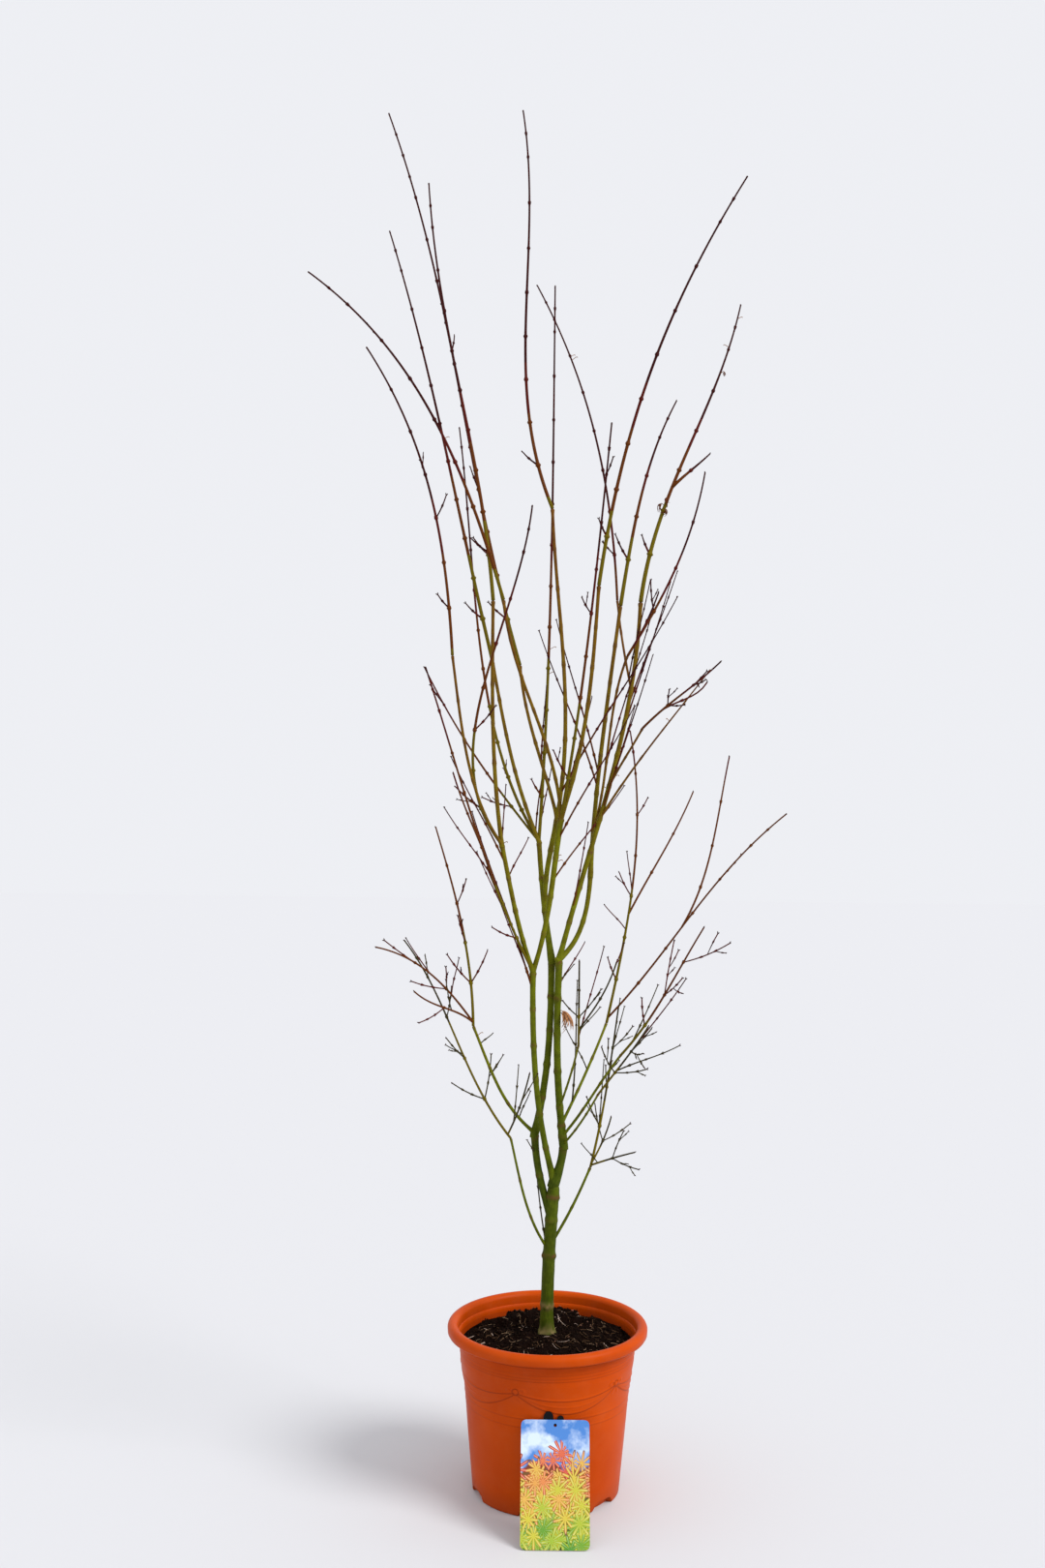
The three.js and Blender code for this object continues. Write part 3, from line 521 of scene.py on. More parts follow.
def newGroup(name, inputs, outputs):
    # inputs are names with their defaults, None for a vector; outputs are the names of numbers
    group = bpy.data.node_groups.new(name, "ShaderNodeTree")
    for label, value in inputs.items():
        kind = "NodeSocketVector" if value is None else "NodeSocketFloat"
        made = group.interface.new_socket(label, in_out="INPUT", socket_type=kind)
        if value is not None:
            made.default_value = value
    for label in outputs:
        group.interface.new_socket(label, in_out="OUTPUT", socket_type="NodeSocketFloat")
    return group, nodeIn(group, "NodeGroupInput", (-900, 0)), nodeIn(group, "NodeGroupOutput", (900, 0))


def groupIn(tree, group, **values):
    node = nodeIn(tree, "ShaderNodeGroup", (-900, 0), node_tree=group)
    for key, value in values.items():
        node.inputs[key].default_value = value
    return node


def objectPlace(tree):
    # the point on the piece, in metres
    return nodeIn(tree, "ShaderNodeTexCoord", (-1300, -200)).outputs["Object"]


def markIn(tree, name):
    # a value that putMesh gave to each vertex
    return nodeIn(tree, "ShaderNodeAttribute", (-1300, 200), attribute_name=name).outputs["Fac"]


def setOrLink(tree, value, place):
    if isinstance(value, bpy.types.NodeSocket):
        tree.links.new(value, place)
    else:
        place.default_value = value


def noiseAt(tree, vector, scale, detail, roughness):
    node = nodeIn(tree, "ShaderNodeTexNoise", (-600, 0))
    for key, value in (("Vector", vector), ("Scale", scale), ("Detail", detail), ("Roughness", roughness)):
        setOrLink(tree, value, node.inputs[key])
    return node.outputs["Fac"]


def axesOf(tree, vector):
    node = nodeIn(tree, "ShaderNodeSeparateXYZ", (-600, 200))
    tree.links.new(vector, node.inputs[0])
    return node.outputs


def mathNode(tree, operation, first, second=None, third=None):
    node = nodeIn(tree, "ShaderNodeMath", operation=operation)
    for place, value in zip(node.inputs, (first, second, third)):
        if value is not None:
            setOrLink(tree, value, place)
    return node.outputs[0]


def mapRange(tree, value, low, high, newLow=0, newHigh=1):
    node = nodeIn(tree, "ShaderNodeMapRange")
    for key, number in (("From Min", low), ("From Max", high), ("To Min", newLow), ("To Max", newHigh)):
        node.inputs[key].default_value = number
    tree.links.new(value, node.inputs["Value"])
    return node.outputs["Result"]


def mixColour(tree, factor, first, second):
    # first where factor is 0 and second where it is 1; each is a socket or red, green and blue
    node = nodeIn(tree, "ShaderNodeMix", data_type="RGBA")
    tree.links.new(factor, node.inputs["Factor"])
    for value, key in ((first, "A"), (second, "B")):
        setOrLink(tree, (*value, 1) if isinstance(value, tuple) else value, node.inputs[key])
    return node.outputs["Result"]


def ramp(tree, value, stops):
    node = nodeIn(tree, "ShaderNodeValToRGB")
    while len(node.color_ramp.elements) < len(stops):
        node.color_ramp.elements.new(0.5)
    for element, (place, colour) in zip(node.color_ramp.elements, stops):
        element.position = place
        element.color = (*colour, 1)
    tree.links.new(value, node.inputs["Fac"])
    return node.outputs["Color"]


def streakGroup():
    # fine streaks, stretched to eleven times their width up a limb, and wide blotches, as two masks
    group, given, out = newGroup("limbStreaks", {"StreakScale": 900.0, "BlotchScale": 60.0},
                                 ("Streak", "Blotch"))
    place = objectPlace(group)
    stretch = nodeIn(group, "ShaderNodeMapping", (-900, -200))
    stretch.inputs["Scale"].default_value = (1, 1, 0.09)
    group.links.new(place, stretch.inputs["Vector"])
    fine = noiseAt(group, stretch.outputs["Vector"], given.outputs["StreakScale"], 4, 0.55)
    wide = noiseAt(group, place, given.outputs["BlotchScale"], 5, 0.6)
    group.links.new(mapRange(group, fine, 0.35, 0.68), out.inputs["Streak"])
    group.links.new(mapRange(group, wide, 0.35, 0.65), out.inputs["Blotch"])
    return group


def scuffGroup():
    # dust and fine scuffs for moulded plastic: a mask, a shift of roughness and a height
    group, given, out = newGroup("plasticScuffs", {"Size": 40.0}, ("Dust", "Roughness", "Height"))
    place = objectPlace(group)
    cloud = noiseAt(group, place, given.outputs["Size"], 6, 0.65)
    group.links.new(mapRange(group, cloud, 0.45, 0.75), out.inputs["Dust"])
    group.links.new(mapRange(group, cloud, 0.3, 0.7, -0.06, 0.1), out.inputs["Roughness"])
    group.links.new(noiseAt(group, place, 700, 3, 0.6), out.inputs["Height"])
    return group


limbStreaks = streakGroup()
plasticScuffs = scuffGroup()


def newMaterial(name, roughness=0.5, coat=0.0, coatRoughness=0.2, specular=0.5, sheen=0.0):
    material = bpy.data.materials.new(name)
    material.use_nodes = True
    shader = material.node_tree.nodes["Principled BSDF"]
    for key, value in (("Roughness", roughness), ("Coat Weight", coat), ("Coat Roughness", coatRoughness),
                       ("Specular IOR Level", specular), ("Sheen Weight", sheen)):
        shader.inputs[key].default_value = value
    return material, material.node_tree, shader


def bumpInto(tree, shader, height, strength, distance):
    bump = nodeIn(tree, "ShaderNodeBump", (-250, -400))
    bump.inputs["Strength"].default_value = strength
    bump.inputs["Distance"].default_value = distance
    tree.links.new(height, bump.inputs["Height"])
    tree.links.new(bump.outputs["Normal"], shader.inputs["Normal"])


# Bark: green on the trunk and stems, olive and brown further out, darker brown scars at the nodes

barkLook = {"byAge": [(0.0, (0.038, 0.064, 0.001)), (0.05, (0.068, 0.096, 0.001)),
                      (0.25, (0.120, 0.146, 0.001)), (0.45, (0.154, 0.160, 0.002)),
                      (0.7, (0.178, 0.118, 0.003)), (0.85, (0.182, 0.088, 0.003)),
                      (1.0, (0.160, 0.048, 0.004))],
            "blotchesByAge": [(0.0, (0.022, 0.032, 0.001)), (0.35, (0.066, 0.060, 0.001)),
                              (0.65, (0.100, 0.036, 0.004)), (1.0, (0.060, 0.014, 0.005))],
            "streak": (0.20, 0.20, 0.02), "scar": (0.112, 0.052, 0.018), "foot": (0.24, 0.17, 0.07),
            "streakShare": 0.25, "blotchShare": 0.65, "roughness": (0.45, 0.58), "scarRoughness": 0.3}


def barkMaterial():
    look = barkLook
    material, tree, shader = newMaterial("greenBark", roughness=0.5, specular=0.06)
    young, scar = markIn(tree, "young"), markIn(tree, "scar")
    streaks = groupIn(tree, limbStreaks, StreakScale=900.0, BlotchScale=60.0).outputs
    base = ramp(tree, young, look["byAge"])
    base = mixColour(tree, mapRange(tree, streaks["Streak"], 0, 1, 0, look["streakShare"]), base,
                     look["streak"])
    base = mixColour(tree, mapRange(tree, streaks["Blotch"], 0, 1, 0, look["blotchShare"]), base,
                     ramp(tree, young, look["blotchesByAge"]))
    base = mixColour(tree, scar, base, look["scar"])
    base = mixColour(tree, markIn(tree, "foot"), base, look["foot"])
    tree.links.new(base, shader.inputs["Base Color"])
    rough = mapRange(tree, streaks["Blotch"], 0, 1, *look["roughness"])
    rough = mathNode(tree, "MULTIPLY_ADD", scar, look["scarRoughness"], rough)
    tree.links.new(rough, shader.inputs["Roughness"])
    bumpInto(tree, shader, streaks["Streak"], 0.35, 0.0004)
    return material


def plainMaterial(name, colour, roughness):
    material, tree, shader = newMaterial(name, roughness=roughness, specular=0.05)
    shader.inputs["Base Color"].default_value = (*colour, 1)
    return material


greenBark = barkMaterial()

barkFine = {"step": 1.6, "sides": 18, "nodeGap": 62, "nodeSwell": 0.10, "nodeWidth": 4.6,
            "scarRise": 0.2, "scarGap": 1.8, "scarWidth": 0.7, "scarShade": 3.2,
            "scarStrength": (0.1, 1.0), "patchSize": 9, "baseRise": 0.13, "baseDrop": 3,
            "baseLength": 3, "waveSize": 34, "waveRise": 0.03, "collar": 0.42, "knot": 0.24,
            "tipCollar": (0.26, 0.62), "sunk": 0.7, "dome": 1.1, "domeShare": 0.93, "forkShade": 0.7,
            "forkLength": 0.9}
trunkFine = {"nodes": (299, 381, 438, 476), "scars": (0.8, 1.0, 0.3, 0.9), "dome": 1.3, "age": 0.04,
             "footShade": 11, "ringHeight": 43, "ringShade": 0.7, "ringWidth": 6, "footStrength": 0.8}


def nodeStations(name, length):
    # every place where something leaves, and nodes spread evenly between them; the trunk has its own
    if name == "trunk":
        return np.array([atHeight(limbs[name][0], height) for height in trunkFine["nodes"]])
    marks = sorted({0.0, 1.0, *childrenAt.get(name, [])})
    out = []
    for low, high in zip(marks[:-1], marks[1:]):
        count = max(1, round((high - low) * length / barkFine["nodeGap"]))
        out += list(low + (high - low) * np.arange(1, count + 1) / count)
    return np.array(out)


def ageOf(diameter, height):
    # 0 for old green bark and 1 for young brown bark: thinner is younger, and higher is too
    thin = (11 - diameter) / 13 * np.clip((height - 450) / 500, 0.3, 1)
    return np.clip(0.12 + thin + (height - 700) / 2000, 0, 1)


def limbRadius(name, t, away):
    # Half the taper, times a collar that fades from the foot and a knot that fades from the tip, plus
    # the trunk's flare, then times a swelling at each node, plus two thin raised rings there
    line, footWide, tipWide, onTip = limbs[name]
    shape, fine = limbShape, barkFine
    length = lengthOf(line)
    collar, knot = fine["collar"], fine["knot"]
    if name == "trunk":
        collar, knot = 0, 0
    elif onTip:
        collar = np.clip(limbs[parents[name]][2] / footWide - 1, *fine["tipCollar"])
    fromFoot = np.abs(t) * length / (shape["collarFade"] * footWide)
    radius = tapered(footWide, tipWide, t) / 2 * (1 + collar * np.exp(-fromFoot ** 1.4))
    radius *= 1 + knot * np.exp((t - 1) * length / (shape["knotFade"] * tipWide))
    if name == "trunk":
        radius += trunkShape["flare"] * np.exp(-aboveStart(t) / trunkShape["flareHeight"])
    swell = hump(away, fine["nodeWidth"]).sum(1)
    rings = hump(np.abs(away) - fine["scarGap"], fine["scarWidth"]).sum(1)
    return radius * (1 + fine["nodeSwell"] * swell) + fine["scarRise"] * rings


def aboveStart(t):
    return t * (trunkShape["forkHeight"] - trunkShape["start"])


def limbSkin(name):
    # The radius along the limb, times a pair of leaf bases just under each node, a dome that closes
    # the tip as a quarter circle does, slow waves, and on the trunk lobes round its foot. A limb that
    # goes on from a tip starts a little inside it.
    line, footWide, tipWide, onTip = limbs[name]
    fine, isTrunk = barkFine, name == "trunk"
    length = lengthOf(line)
    start = 0 if isTrunk or not onTip else -fine["sunk"] * footWide / length
    t = np.linspace(start, 1, max(int(length / fine["step"]), 12))
    nodes = nodeStations(name, length)
    away = (t[:, None] - nodes) * length
    radius = limbRadius(name, t, away)
    angle = np.arange(fine["sides"]) * 2 * np.pi / fine["sides"]
    phase = np.arange(len(nodes)) * np.pi / 2
    below = hump(away + fine["baseDrop"], fine["baseLength"])
    bases = below[:, :, None] * np.abs(np.cos(angle - phase[:, None])) ** 7
    radii = radius[:, None] * (1 + fine["baseRise"] * bases.sum(1))
    dome = trunkFine["dome"] if isTrunk else fine["dome"]
    closing = np.clip((1 - t) * length / (dome * radius), 0, 1)
    radii *= np.sqrt(1 - (1 - closing) ** 2 * fine["domeShare"])[:, None]
    points = along(line, t)[0]
    around = np.stack([12 * np.cos(angle), 12 * np.sin(angle), angle * 0, angle * 0], -1)
    spots = np.concatenate([points, points[:, :1] * 0], 1)[:, None] + around
    radii *= 1 + fine["waveRise"] * waves(spots, fine["waveSize"], 7)

    age = ageOf(tapered(footWide, tipWide, t), points[:, 2])
    chance = np.random.default_rng(len(nodes) + int(length))
    strength = chance.uniform(*fine["scarStrength"], len(nodes))
    strength[-1] = 1
    forked = fine["forkShade"] * hump((1 - t) * length, fine["forkLength"] * tipWide)
    foot = t * 0
    if isTrunk:
        above = aboveStart(t)
        strength, forked = np.array(trunkFine["scars"]), 0
        age = trunkFine["age"] * t
        fade = np.exp(-above / trunkShape["flareHeight"])[:, None]
        lobes = np.cos(trunkShape["lobes"] * (angle + math.pi / 2))
        radii *= 1 + trunkShape["lobeDepth"] * fade * lobes
        ring = hump(above - trunkFine["ringHeight"], trunkFine["ringWidth"])
        foot = hump(above, trunkFine["footShade"]) + trunkFine["ringShade"] * ring
    skin = tubes(line[None], t[None], radii[None], fine["sides"])
    patches = np.clip(0.6 + 0.8 * waves(skin["points"], fine["patchSize"], 21), 0, 1)
    scar = np.clip((hump(away, fine["scarShade"]) * strength).sum(1) + forked, 0, 1)
    marks = {"young": age[skin["ring"]], "scar": scar[skin["ring"]] * patches,
             "foot": foot[skin["ring"]] * patches * trunkFine["footStrength"]}
    piece = putMesh(name + "-bark", skin["points"], skin["quads"], skin["tris"], marks=marks,
                    materials=[greenBark])
    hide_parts(name)


for name in limbs:
    limbSkin(name)
print("bark done")


# Twigs and buds

twigFine = {"step": 9, "sides": 7, "thicker": 1.24, "nodeSwell": 0.75, "nodeWidth": 2.0,
            "nodeRings": (-3.2, -1.2, 0, 1.2, 3.2), "leaderGap": 72, "shootGap": 46,
            "spurShare": 0.3, "spurLength": (9, 24), "spurDiameter": 1.3, "spurTip": 1.1, "spurAngle": 40}
budFine = {"length": 4.8, "wide": 2.4, "out": 0.55, "stations": (0.0, 0.3, 0.62, 0.88),
           "profile": (0.62, 1.0, 0.8, 0.34), "sides": 5}
# a spray's colour goes by its thickness in mm: the limits between the colours shift with the height
sprayShape = {"limits": (3.5, 2.5, 1.9), "middle": 1250, "perHeight": 300, "shift": (-0.5, 1.8),
              "greyUnder": 2.6, "greyMasses": ("low-left-twigs", "low-right-twigs",
                                               "low-front-twigs", "inner-twigs"), "greyShootsTo": 860}
twigSprays = [plainMaterial("oliveShoot", (0.125, 0.092, 0.003), 0.5),
              plainMaterial("brownShoot", (0.108, 0.029, 0.004), 0.5),
              plainMaterial("maroonShoot", (0.082, 0.009, 0.005), 0.45),
              plainMaterial("darkTip", (0.040, 0.005, 0.004), 0.45),
              plainMaterial("greyTwig", (0.045, 0.036, 0.011), 0.65)]
grey = 4  # the last of the sprays
budLines, budWides = [], []


def budPair(line, t, phase, radius, size, spread=math.pi):
    # two buds at one station, each a short cubic that stands up and a little outwards
    point, way = placeAt(line, t)
    for half in (0, spread):
        out = turnedAbout(squareTo(way), way, phase + half)
        foot = point + out * radius * budFine["out"]
        tip = foot + (way * 0.86 + out * 0.5) * budFine["length"] * size
        budLines.append(np.array([foot, foot + (tip - foot) * 0.3 + out * 0.3,
                                  foot + (tip - foot) * 0.7, tip]))
        budWides.append(budFine["wide"] * size)


def tipBuds(twig, t, radius, size):
    # the last two buds of a twig stand closer together than a pair along it
    budPair(twig["line"], t, twig["phase"], radius, size, 2.6)


def leaderBuds(twig):
    # bud pairs that draw closer towards the tip, with one at every node of the rule
    nodes = [0, *twig["buds"], 1]
    length = lengthOf(twig["line"])
    out = []
    for low, high in zip(nodes[:-1], nodes[1:]):
        gap = twigFine["leaderGap"] * (1.2 - 0.65 * low)
        count = max(1, round((high - low) * length / gap))
        out += list(low + (high - low) * np.arange(1, count + 1) / count)
    return [t for t in out if t < 0.985]


def twigTube(twig, isGrey):
    # A tube of half the taper, times thicker, that swells at each pair of buds. Each ring of faces
    # takes its spray by its thickness there, less the shift that its height gives.
    line, buds = twig["line"], np.array(twig["buds"])
    length = lengthOf(line)
    even = np.linspace(0, 1, max(int(length / twigFine["step"]), 5))
    near = [buds + k / length for k in twigFine["nodeRings"]]
    t = np.unique(np.clip(np.concatenate([even, *near]), 0, 1).round(4))
    radius = tapered(twig["foot"], twig["tip"], t) / 2 * twigFine["thicker"]
    away = (t[:, None] - buds) * length
    radius = radius * (1 + twigFine["nodeSwell"] * hump(away, twigFine["nodeWidth"]).sum(1))
    part = tubes(line[None], t[None], radius[None], twigFine["sides"])
    taper = tapered(twig["foot"], twig["tip"], t[:-1])
    high = along(line, t[:-1])[0][:, 2]
    shift = np.clip((high - sprayShape["middle"]) / sprayShape["perHeight"], *sprayShape["shift"])
    spray = np.searchsorted(-np.array(sprayShape["limits"]), shift - taper)
    if isGrey:
        spray = np.where(taper < sprayShape["greyUnder"], grey, 0)
    part["quadSlots"] = spray[part["faceRing"]]
    part["triSlots"] = np.full(len(part["tris"]), spray[-1])
    return part


def massTwigs(name, mass):
    # every twig gets its buds, and a side twig's buds may grow out as short spurs
    chance = np.random.default_rng(sum(map(ord, name)))
    spurs = []
    for twig in mass["twigs"]:
        if twig["kind"] == "leader":
            twig["buds"] = leaderBuds(twig)
        for k, t in enumerate(twig["buds"]):
            phase = (k + 1) * math.pi / 2 + twig["phase"]
            radius = tapered(twig["foot"], twig["tip"], t) / 2
            budPair(twig["line"], t, phase, radius, 0.62 + 0.13 * min(radius, 2.5))
            if twig["kind"] == "twig" and chance.random() < twigFine["spurShare"]:
                long = chance.uniform(*twigFine["spurLength"])
                spur = twigLine(twig["line"], t, phase + 0.4, long, twigFine["spurAngle"])
                if keepsToSpace(spur, mass["leaders"], mass["width"]):
                    spurs.append({"line": spur, "foot": twigFine["spurDiameter"],
                                  "tip": twigFine["spurTip"], "buds": [0.7], "phase": phase})
        tipBuds(twig, 0.995, 0.3, 0.8)
    for spur in spurs:
        tipBuds(spur, 0.98, 0.2, 0.6)
    return mass["twigs"] + spurs


for name, mass in masses.items():
    isGrey = name in sprayShape["greyMasses"]
    points, quads, tris, slots = joined([twigTube(twig, isGrey) for twig in massTwigs(name, mass)])
    piece = putMesh(name + "-shoots", points, quads, tris, slots=slots, materials=twigSprays)
    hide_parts(name)

for shoot in shoots:
    length = lengthOf(shoot["line"])
    count = max(1, round(length / twigFine["shootGap"]))
    shoot["phase"] = length
    shoot["buds"] = [(k + 0.7) / (count + 0.7) for k in range(count)]
    for k, t in enumerate(shoot["buds"]):
        radius = tapered(shoot["foot"], shoot["tip"], t) / 2
        budPair(shoot["line"], t, k * math.pi / 2 + length, radius, 0.72)
    tipBuds(shoot, 0.995, 0.2, 0.7)
points, quads, tris, slots = joined([twigTube(shoot, shoot["line"][3][2] < sprayShape["greyShootsTo"])
                                     for shoot in shoots])
piece = putMesh("thin-shoots", points, quads, tris, slots=slots, materials=twigSprays)

budStations = np.tile(np.array(budFine["stations"]), (len(budLines), 1))
budRadii = np.array(budWides)[:, None] * (np.array(budFine["profile"]) / 2)
buds = tubes(np.array(budLines), budStations, budRadii, budFine["sides"])
piece = putMesh("winter-buds", buds["points"], buds["quads"], buds["tris"],
                materials=[plainMaterial("redBud", (0.036, 0.008, 0.006), 0.4)])
print("twigs done,", len(budLines), "buds")


# Pot: a turned skin with a rolled rim, arched notches round its foot and a swag relief

potShape = {"outside": [(116, 0), (118, 2), (126.6, 100), (128.6, 125), (130.6, 150), (133, 175),
                        (136.9, 200), (139.5, 216), (141, 250), (142.5, 254)],
            "steps": [(0, 2, 3), (2, 20, 20), (20, 145, 22), (145, 212, 62), (212, 254, 30)],
            "rimRadius": 160.5, "rimInside": 143.4, "height": 272, "rimDepth": 18,
            "rimTurn": (-12, 172, 26), "lip": [(142.5, 0), (152, -0.2), (158.6, 0.4), (160.1, 3)],
            "wall": 2.6, "floor": 4, "floorRadius": 100, "insideHeights": (236, 200, 175, 150, 30),
            "columns": 560}
notchShape = {"count": 6, "radius": 118, "width": 50, "height": 13, "depth": 9, "bearing": -40,
              "edge": 1.2}
swagShape = {"count": 5, "radius": 135, "knotBearing": -111.4, "knotHeight": 205, "upperSag": 11,
             "lowerSag": 31, "edge": 1.1, "rise": 0.8, "folds": (0.0, 0.55, 1.0), "knotRise": 1.9,
             "loopRise": 1.1, "loopEnd": 16, "tailRise": 0.8, "tailFoot": 187, "from": 140,
             "lines": ((226, 0.5), (230.5, 0.4), (149, 0.4), (163, 0.45), (236, 0.3))}
# painted shade: dark lines under the relief's folds, level lines and knots, and on the inside wall
paintedShadeShape = {"width": 0.75, "underFold": 1.7, "underLine": 1.5, "knotRing": 5, "knotWidth": 0.9,
               "insideShade": (0.4, 0.75)}
# the dark colour and its share used for painted shade under the relief and inside the pot stand among these
potLook = {"plastic": (0.52, 0.062, 0.001), "deeper": (0.46, 0.050, 0.001), "dust": (0.60, 0.26, 0.14),
           "paintedShade": (0.10, 0.010, 0.002), "lowTone": (0.26, 0.045, 0.016), "dustShare": 0.05,
           "paintedShadeShare": 0.62, "lowToneShare": 0.45, "lowToneHeight": 0.035, "roughness": 0.38}


def potMaterial():
    look = potLook
    material, tree, shader = newMaterial("terracottaPlastic", roughness=0.46, specular=0.055)
    scuffs = groupIn(tree, plasticScuffs, Size=26.0).outputs
    place = objectPlace(tree)
    cloud = mapRange(tree, noiseAt(tree, place, 9, 3, 0.5), 0.35, 0.65)
    base = mixColour(tree, cloud, look["plastic"], look["deeper"])
    base = mixColour(tree, mapRange(tree, scuffs["Dust"], 0, 1, 0, look["dustShare"]), base, look["dust"])
    # painted shade under the relief and on the inside wall
    paintedShade = mapRange(tree, markIn(tree, "paintedShade"), 0, 1, 0, look["paintedShadeShare"])
    base = mixColour(tree, paintedShade, base, look["paintedShade"])
    # darker towards the foot of the pot, over its lowest 35 mm
    low = mapRange(tree, axesOf(tree, place)["Z"], 0, look["lowToneHeight"], look["lowToneShare"], 0)
    base = mixColour(tree, low, base, look["lowTone"])
    tree.links.new(base, shader.inputs["Base Color"])
    rough = mathNode(tree, "ADD", scuffs["Roughness"], look["roughness"])
    tree.links.new(rough, shader.inputs["Roughness"])
    bumpInto(tree, shader, scuffs["Height"], 0.12, 0.0002)
    return material


def potSection():
    # radius and height of each row, in three runs: up the outside, round the lip and the rolled rim,
    # and down the inside to the floor
    shape = potShape
    radii, levels = np.array(shape["outside"], float).T
    under = shape["height"] - shape["rimDepth"]
    heights = np.concatenate([np.linspace(low, high, count, endpoint=False)
                              for low, high, count in shape["steps"]])
    outside = np.stack([np.interp(heights, levels, radii), heights], 1)
    roll = (shape["rimRadius"] - shape["rimInside"]) / 2
    low, high, count = shape["rimTurn"]
    turn = np.radians(np.linspace(low, high, count))
    rim = np.stack([shape["rimRadius"] - roll + roll * np.cos(turn),
                    shape["height"] - roll + roll * np.sin(turn)], 1)
    lip = np.array([(radius, under + rise) for radius, rise in shape["lip"]])
    inside = np.array([(shape["rimInside"], under),
                       *((np.interp(h, levels, radii) - shape["wall"], h) for h in shape["insideHeights"]),
                       (shape["floorRadius"], shape["floor"])])
    return outside, np.concatenate([lip, rim]), inside


def notchCut(bearing, height):
    # 1 under an arch and 0 outside it. The arch is as high as 1 less the fourth power of the way
    # from its middle to its side.
    shape = notchShape
    gap = 2 * np.pi / shape["count"]
    off = (bearing - math.radians(shape["bearing"]) + gap / 2) % gap - gap / 2
    share = np.clip(np.abs(off) * shape["radius"] / (shape["width"] / 2), 0, 1)
    arch = shape["height"] * (1 - share ** 4)
    return np.clip((arch - height) / shape["edge"] + 0.5, 0, 1) * (share < 1)


def swagRelief(bearing, height):
    # Between two knots the cloth hangs in two parabolas, an upper and a lower edge, with a fold
    # along each and one between them. A knot is a hump with two round loops and two slanting tails.
    # Level lines run round the wall above and below. Painted shade, a dark line, lies under each of them.
    shape, paintedShade = swagShape, paintedShadeShape
    gap = 2 * np.pi / shape["count"]
    q = ((bearing - math.radians(shape["knotBearing"])) % gap) / gap * 2 - 1
    drop = 1 - q ** 2
    ends = np.clip(drop * 9, 0, 1)
    upper = shape["knotHeight"] - shape["upperSag"] * drop
    lower = shape["knotHeight"] - 1.5 - shape["lowerSag"] * drop
    inSwag = np.clip((upper - height) / shape["edge"] + 0.5, 0, 1)
    inSwag = inSwag * np.clip((height - lower) / shape["edge"] + 0.5, 0, 1)
    folds = sum(hump(height - (upper + (lower - upper) * k), shape["edge"]) for k in shape["folds"])
    relief = shape["rise"] * (0.5 * inSwag + 0.8 * (folds * ends))

    knotX = (1 - np.abs(q)) * gap / 2 * shape["radius"]
    knotZ = height - shape["knotHeight"]
    knot = np.exp(-(knotX / 4) ** 2 - (knotZ / 3.4) ** 2)
    loops = hump(np.hypot((knotX - 9) / 1.5, knotZ - 2) - 3.2, 1.3) * (knotX < shape["loopEnd"])
    tails = hump(knotX + knotZ * 0.45, 1.6) * np.clip(-knotZ / 3, 0, 1)
    tails *= np.clip((height - shape["tailFoot"]) / 4, 0, 1)
    relief = np.maximum(relief, shape["knotRise"] * knot + shape["loopRise"] * loops
                        + shape["tailRise"] * tails)
    below = sum(hump(height + paintedShade["underFold"] - (upper + (lower - upper) * k), paintedShade["width"])
                for k in (0.0, 1.0))
    below = below * ends + hump(np.hypot(knotX, knotZ) - paintedShade["knotRing"], paintedShade["knotWidth"])
    for level, rise in shape["lines"]:
        relief = relief + rise * hump(height - level, 0.9) * (height > shape["from"])
        below = below + rise * hump(height + paintedShade["underLine"] - level, paintedShade["width"])
    return (relief * np.clip((height - shape["from"]) / 6, 0, 1),
            np.clip(below, 0, 1) * (height > shape["from"]))


def potSkin():
    # Each row of the section is turned round the axis, and on the outside the radius is less by the
    # notches' depth and more by the relief, at its bearing and height.
    shape = potShape
    outside, rim, inside = potSection()
    rows = np.concatenate([outside, rim, inside])
    bearing = np.arange(shape["columns"]) * 2 * np.pi / shape["columns"]
    radius = np.repeat(rows[:, :1], shape["columns"], 1)
    height = np.repeat(rows[:, 1:], shape["columns"], 1)
    wall = (np.arange(len(rows)) < len(outside))[:, None]
    relief, paintedShade = swagRelief(bearing, height)
    radius -= wall * notchCut(bearing, height) * notchShape["depth"]
    radius += wall * relief
    # painted shade under the relief, on the outside wall only
    paintedShade = wall * paintedShade
    shadeAt = (shape["insideHeights"][0], inside[0, 1])
    shade = np.interp(height, shadeAt, paintedShadeShape["insideShade"][::-1])
    paintedShade[-len(inside):] = shade[-len(inside):]  # painted shade on the inside too, most at the compost

    points = np.stack([radius * np.cos(bearing), radius * np.sin(bearing), height], -1).reshape(-1, 3)
    points = np.concatenate([points, [(0, 0, 0), (0, 0, shape["floor"])]])
    ring = np.arange(shape["columns"])
    base = fanFaces(len(points) - 2, ring, inward=True)
    floor = fanFaces(len(points) - 1, ring + (len(rows) - 1) * shape["columns"])
    piece = putMesh("pot-body", points, gridFaces(len(rows), shape["columns"]),
                    np.concatenate([base, floor]), marks={"paintedShade": np.append(paintedShade, (0, 0))},
                    materials=[potMaterial()])
    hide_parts("pot")


potSkin()
print("pot done")


# Compost: an uneven crown round the trunk with the old root ball standing up behind it, crumbs,
# and pale fibres

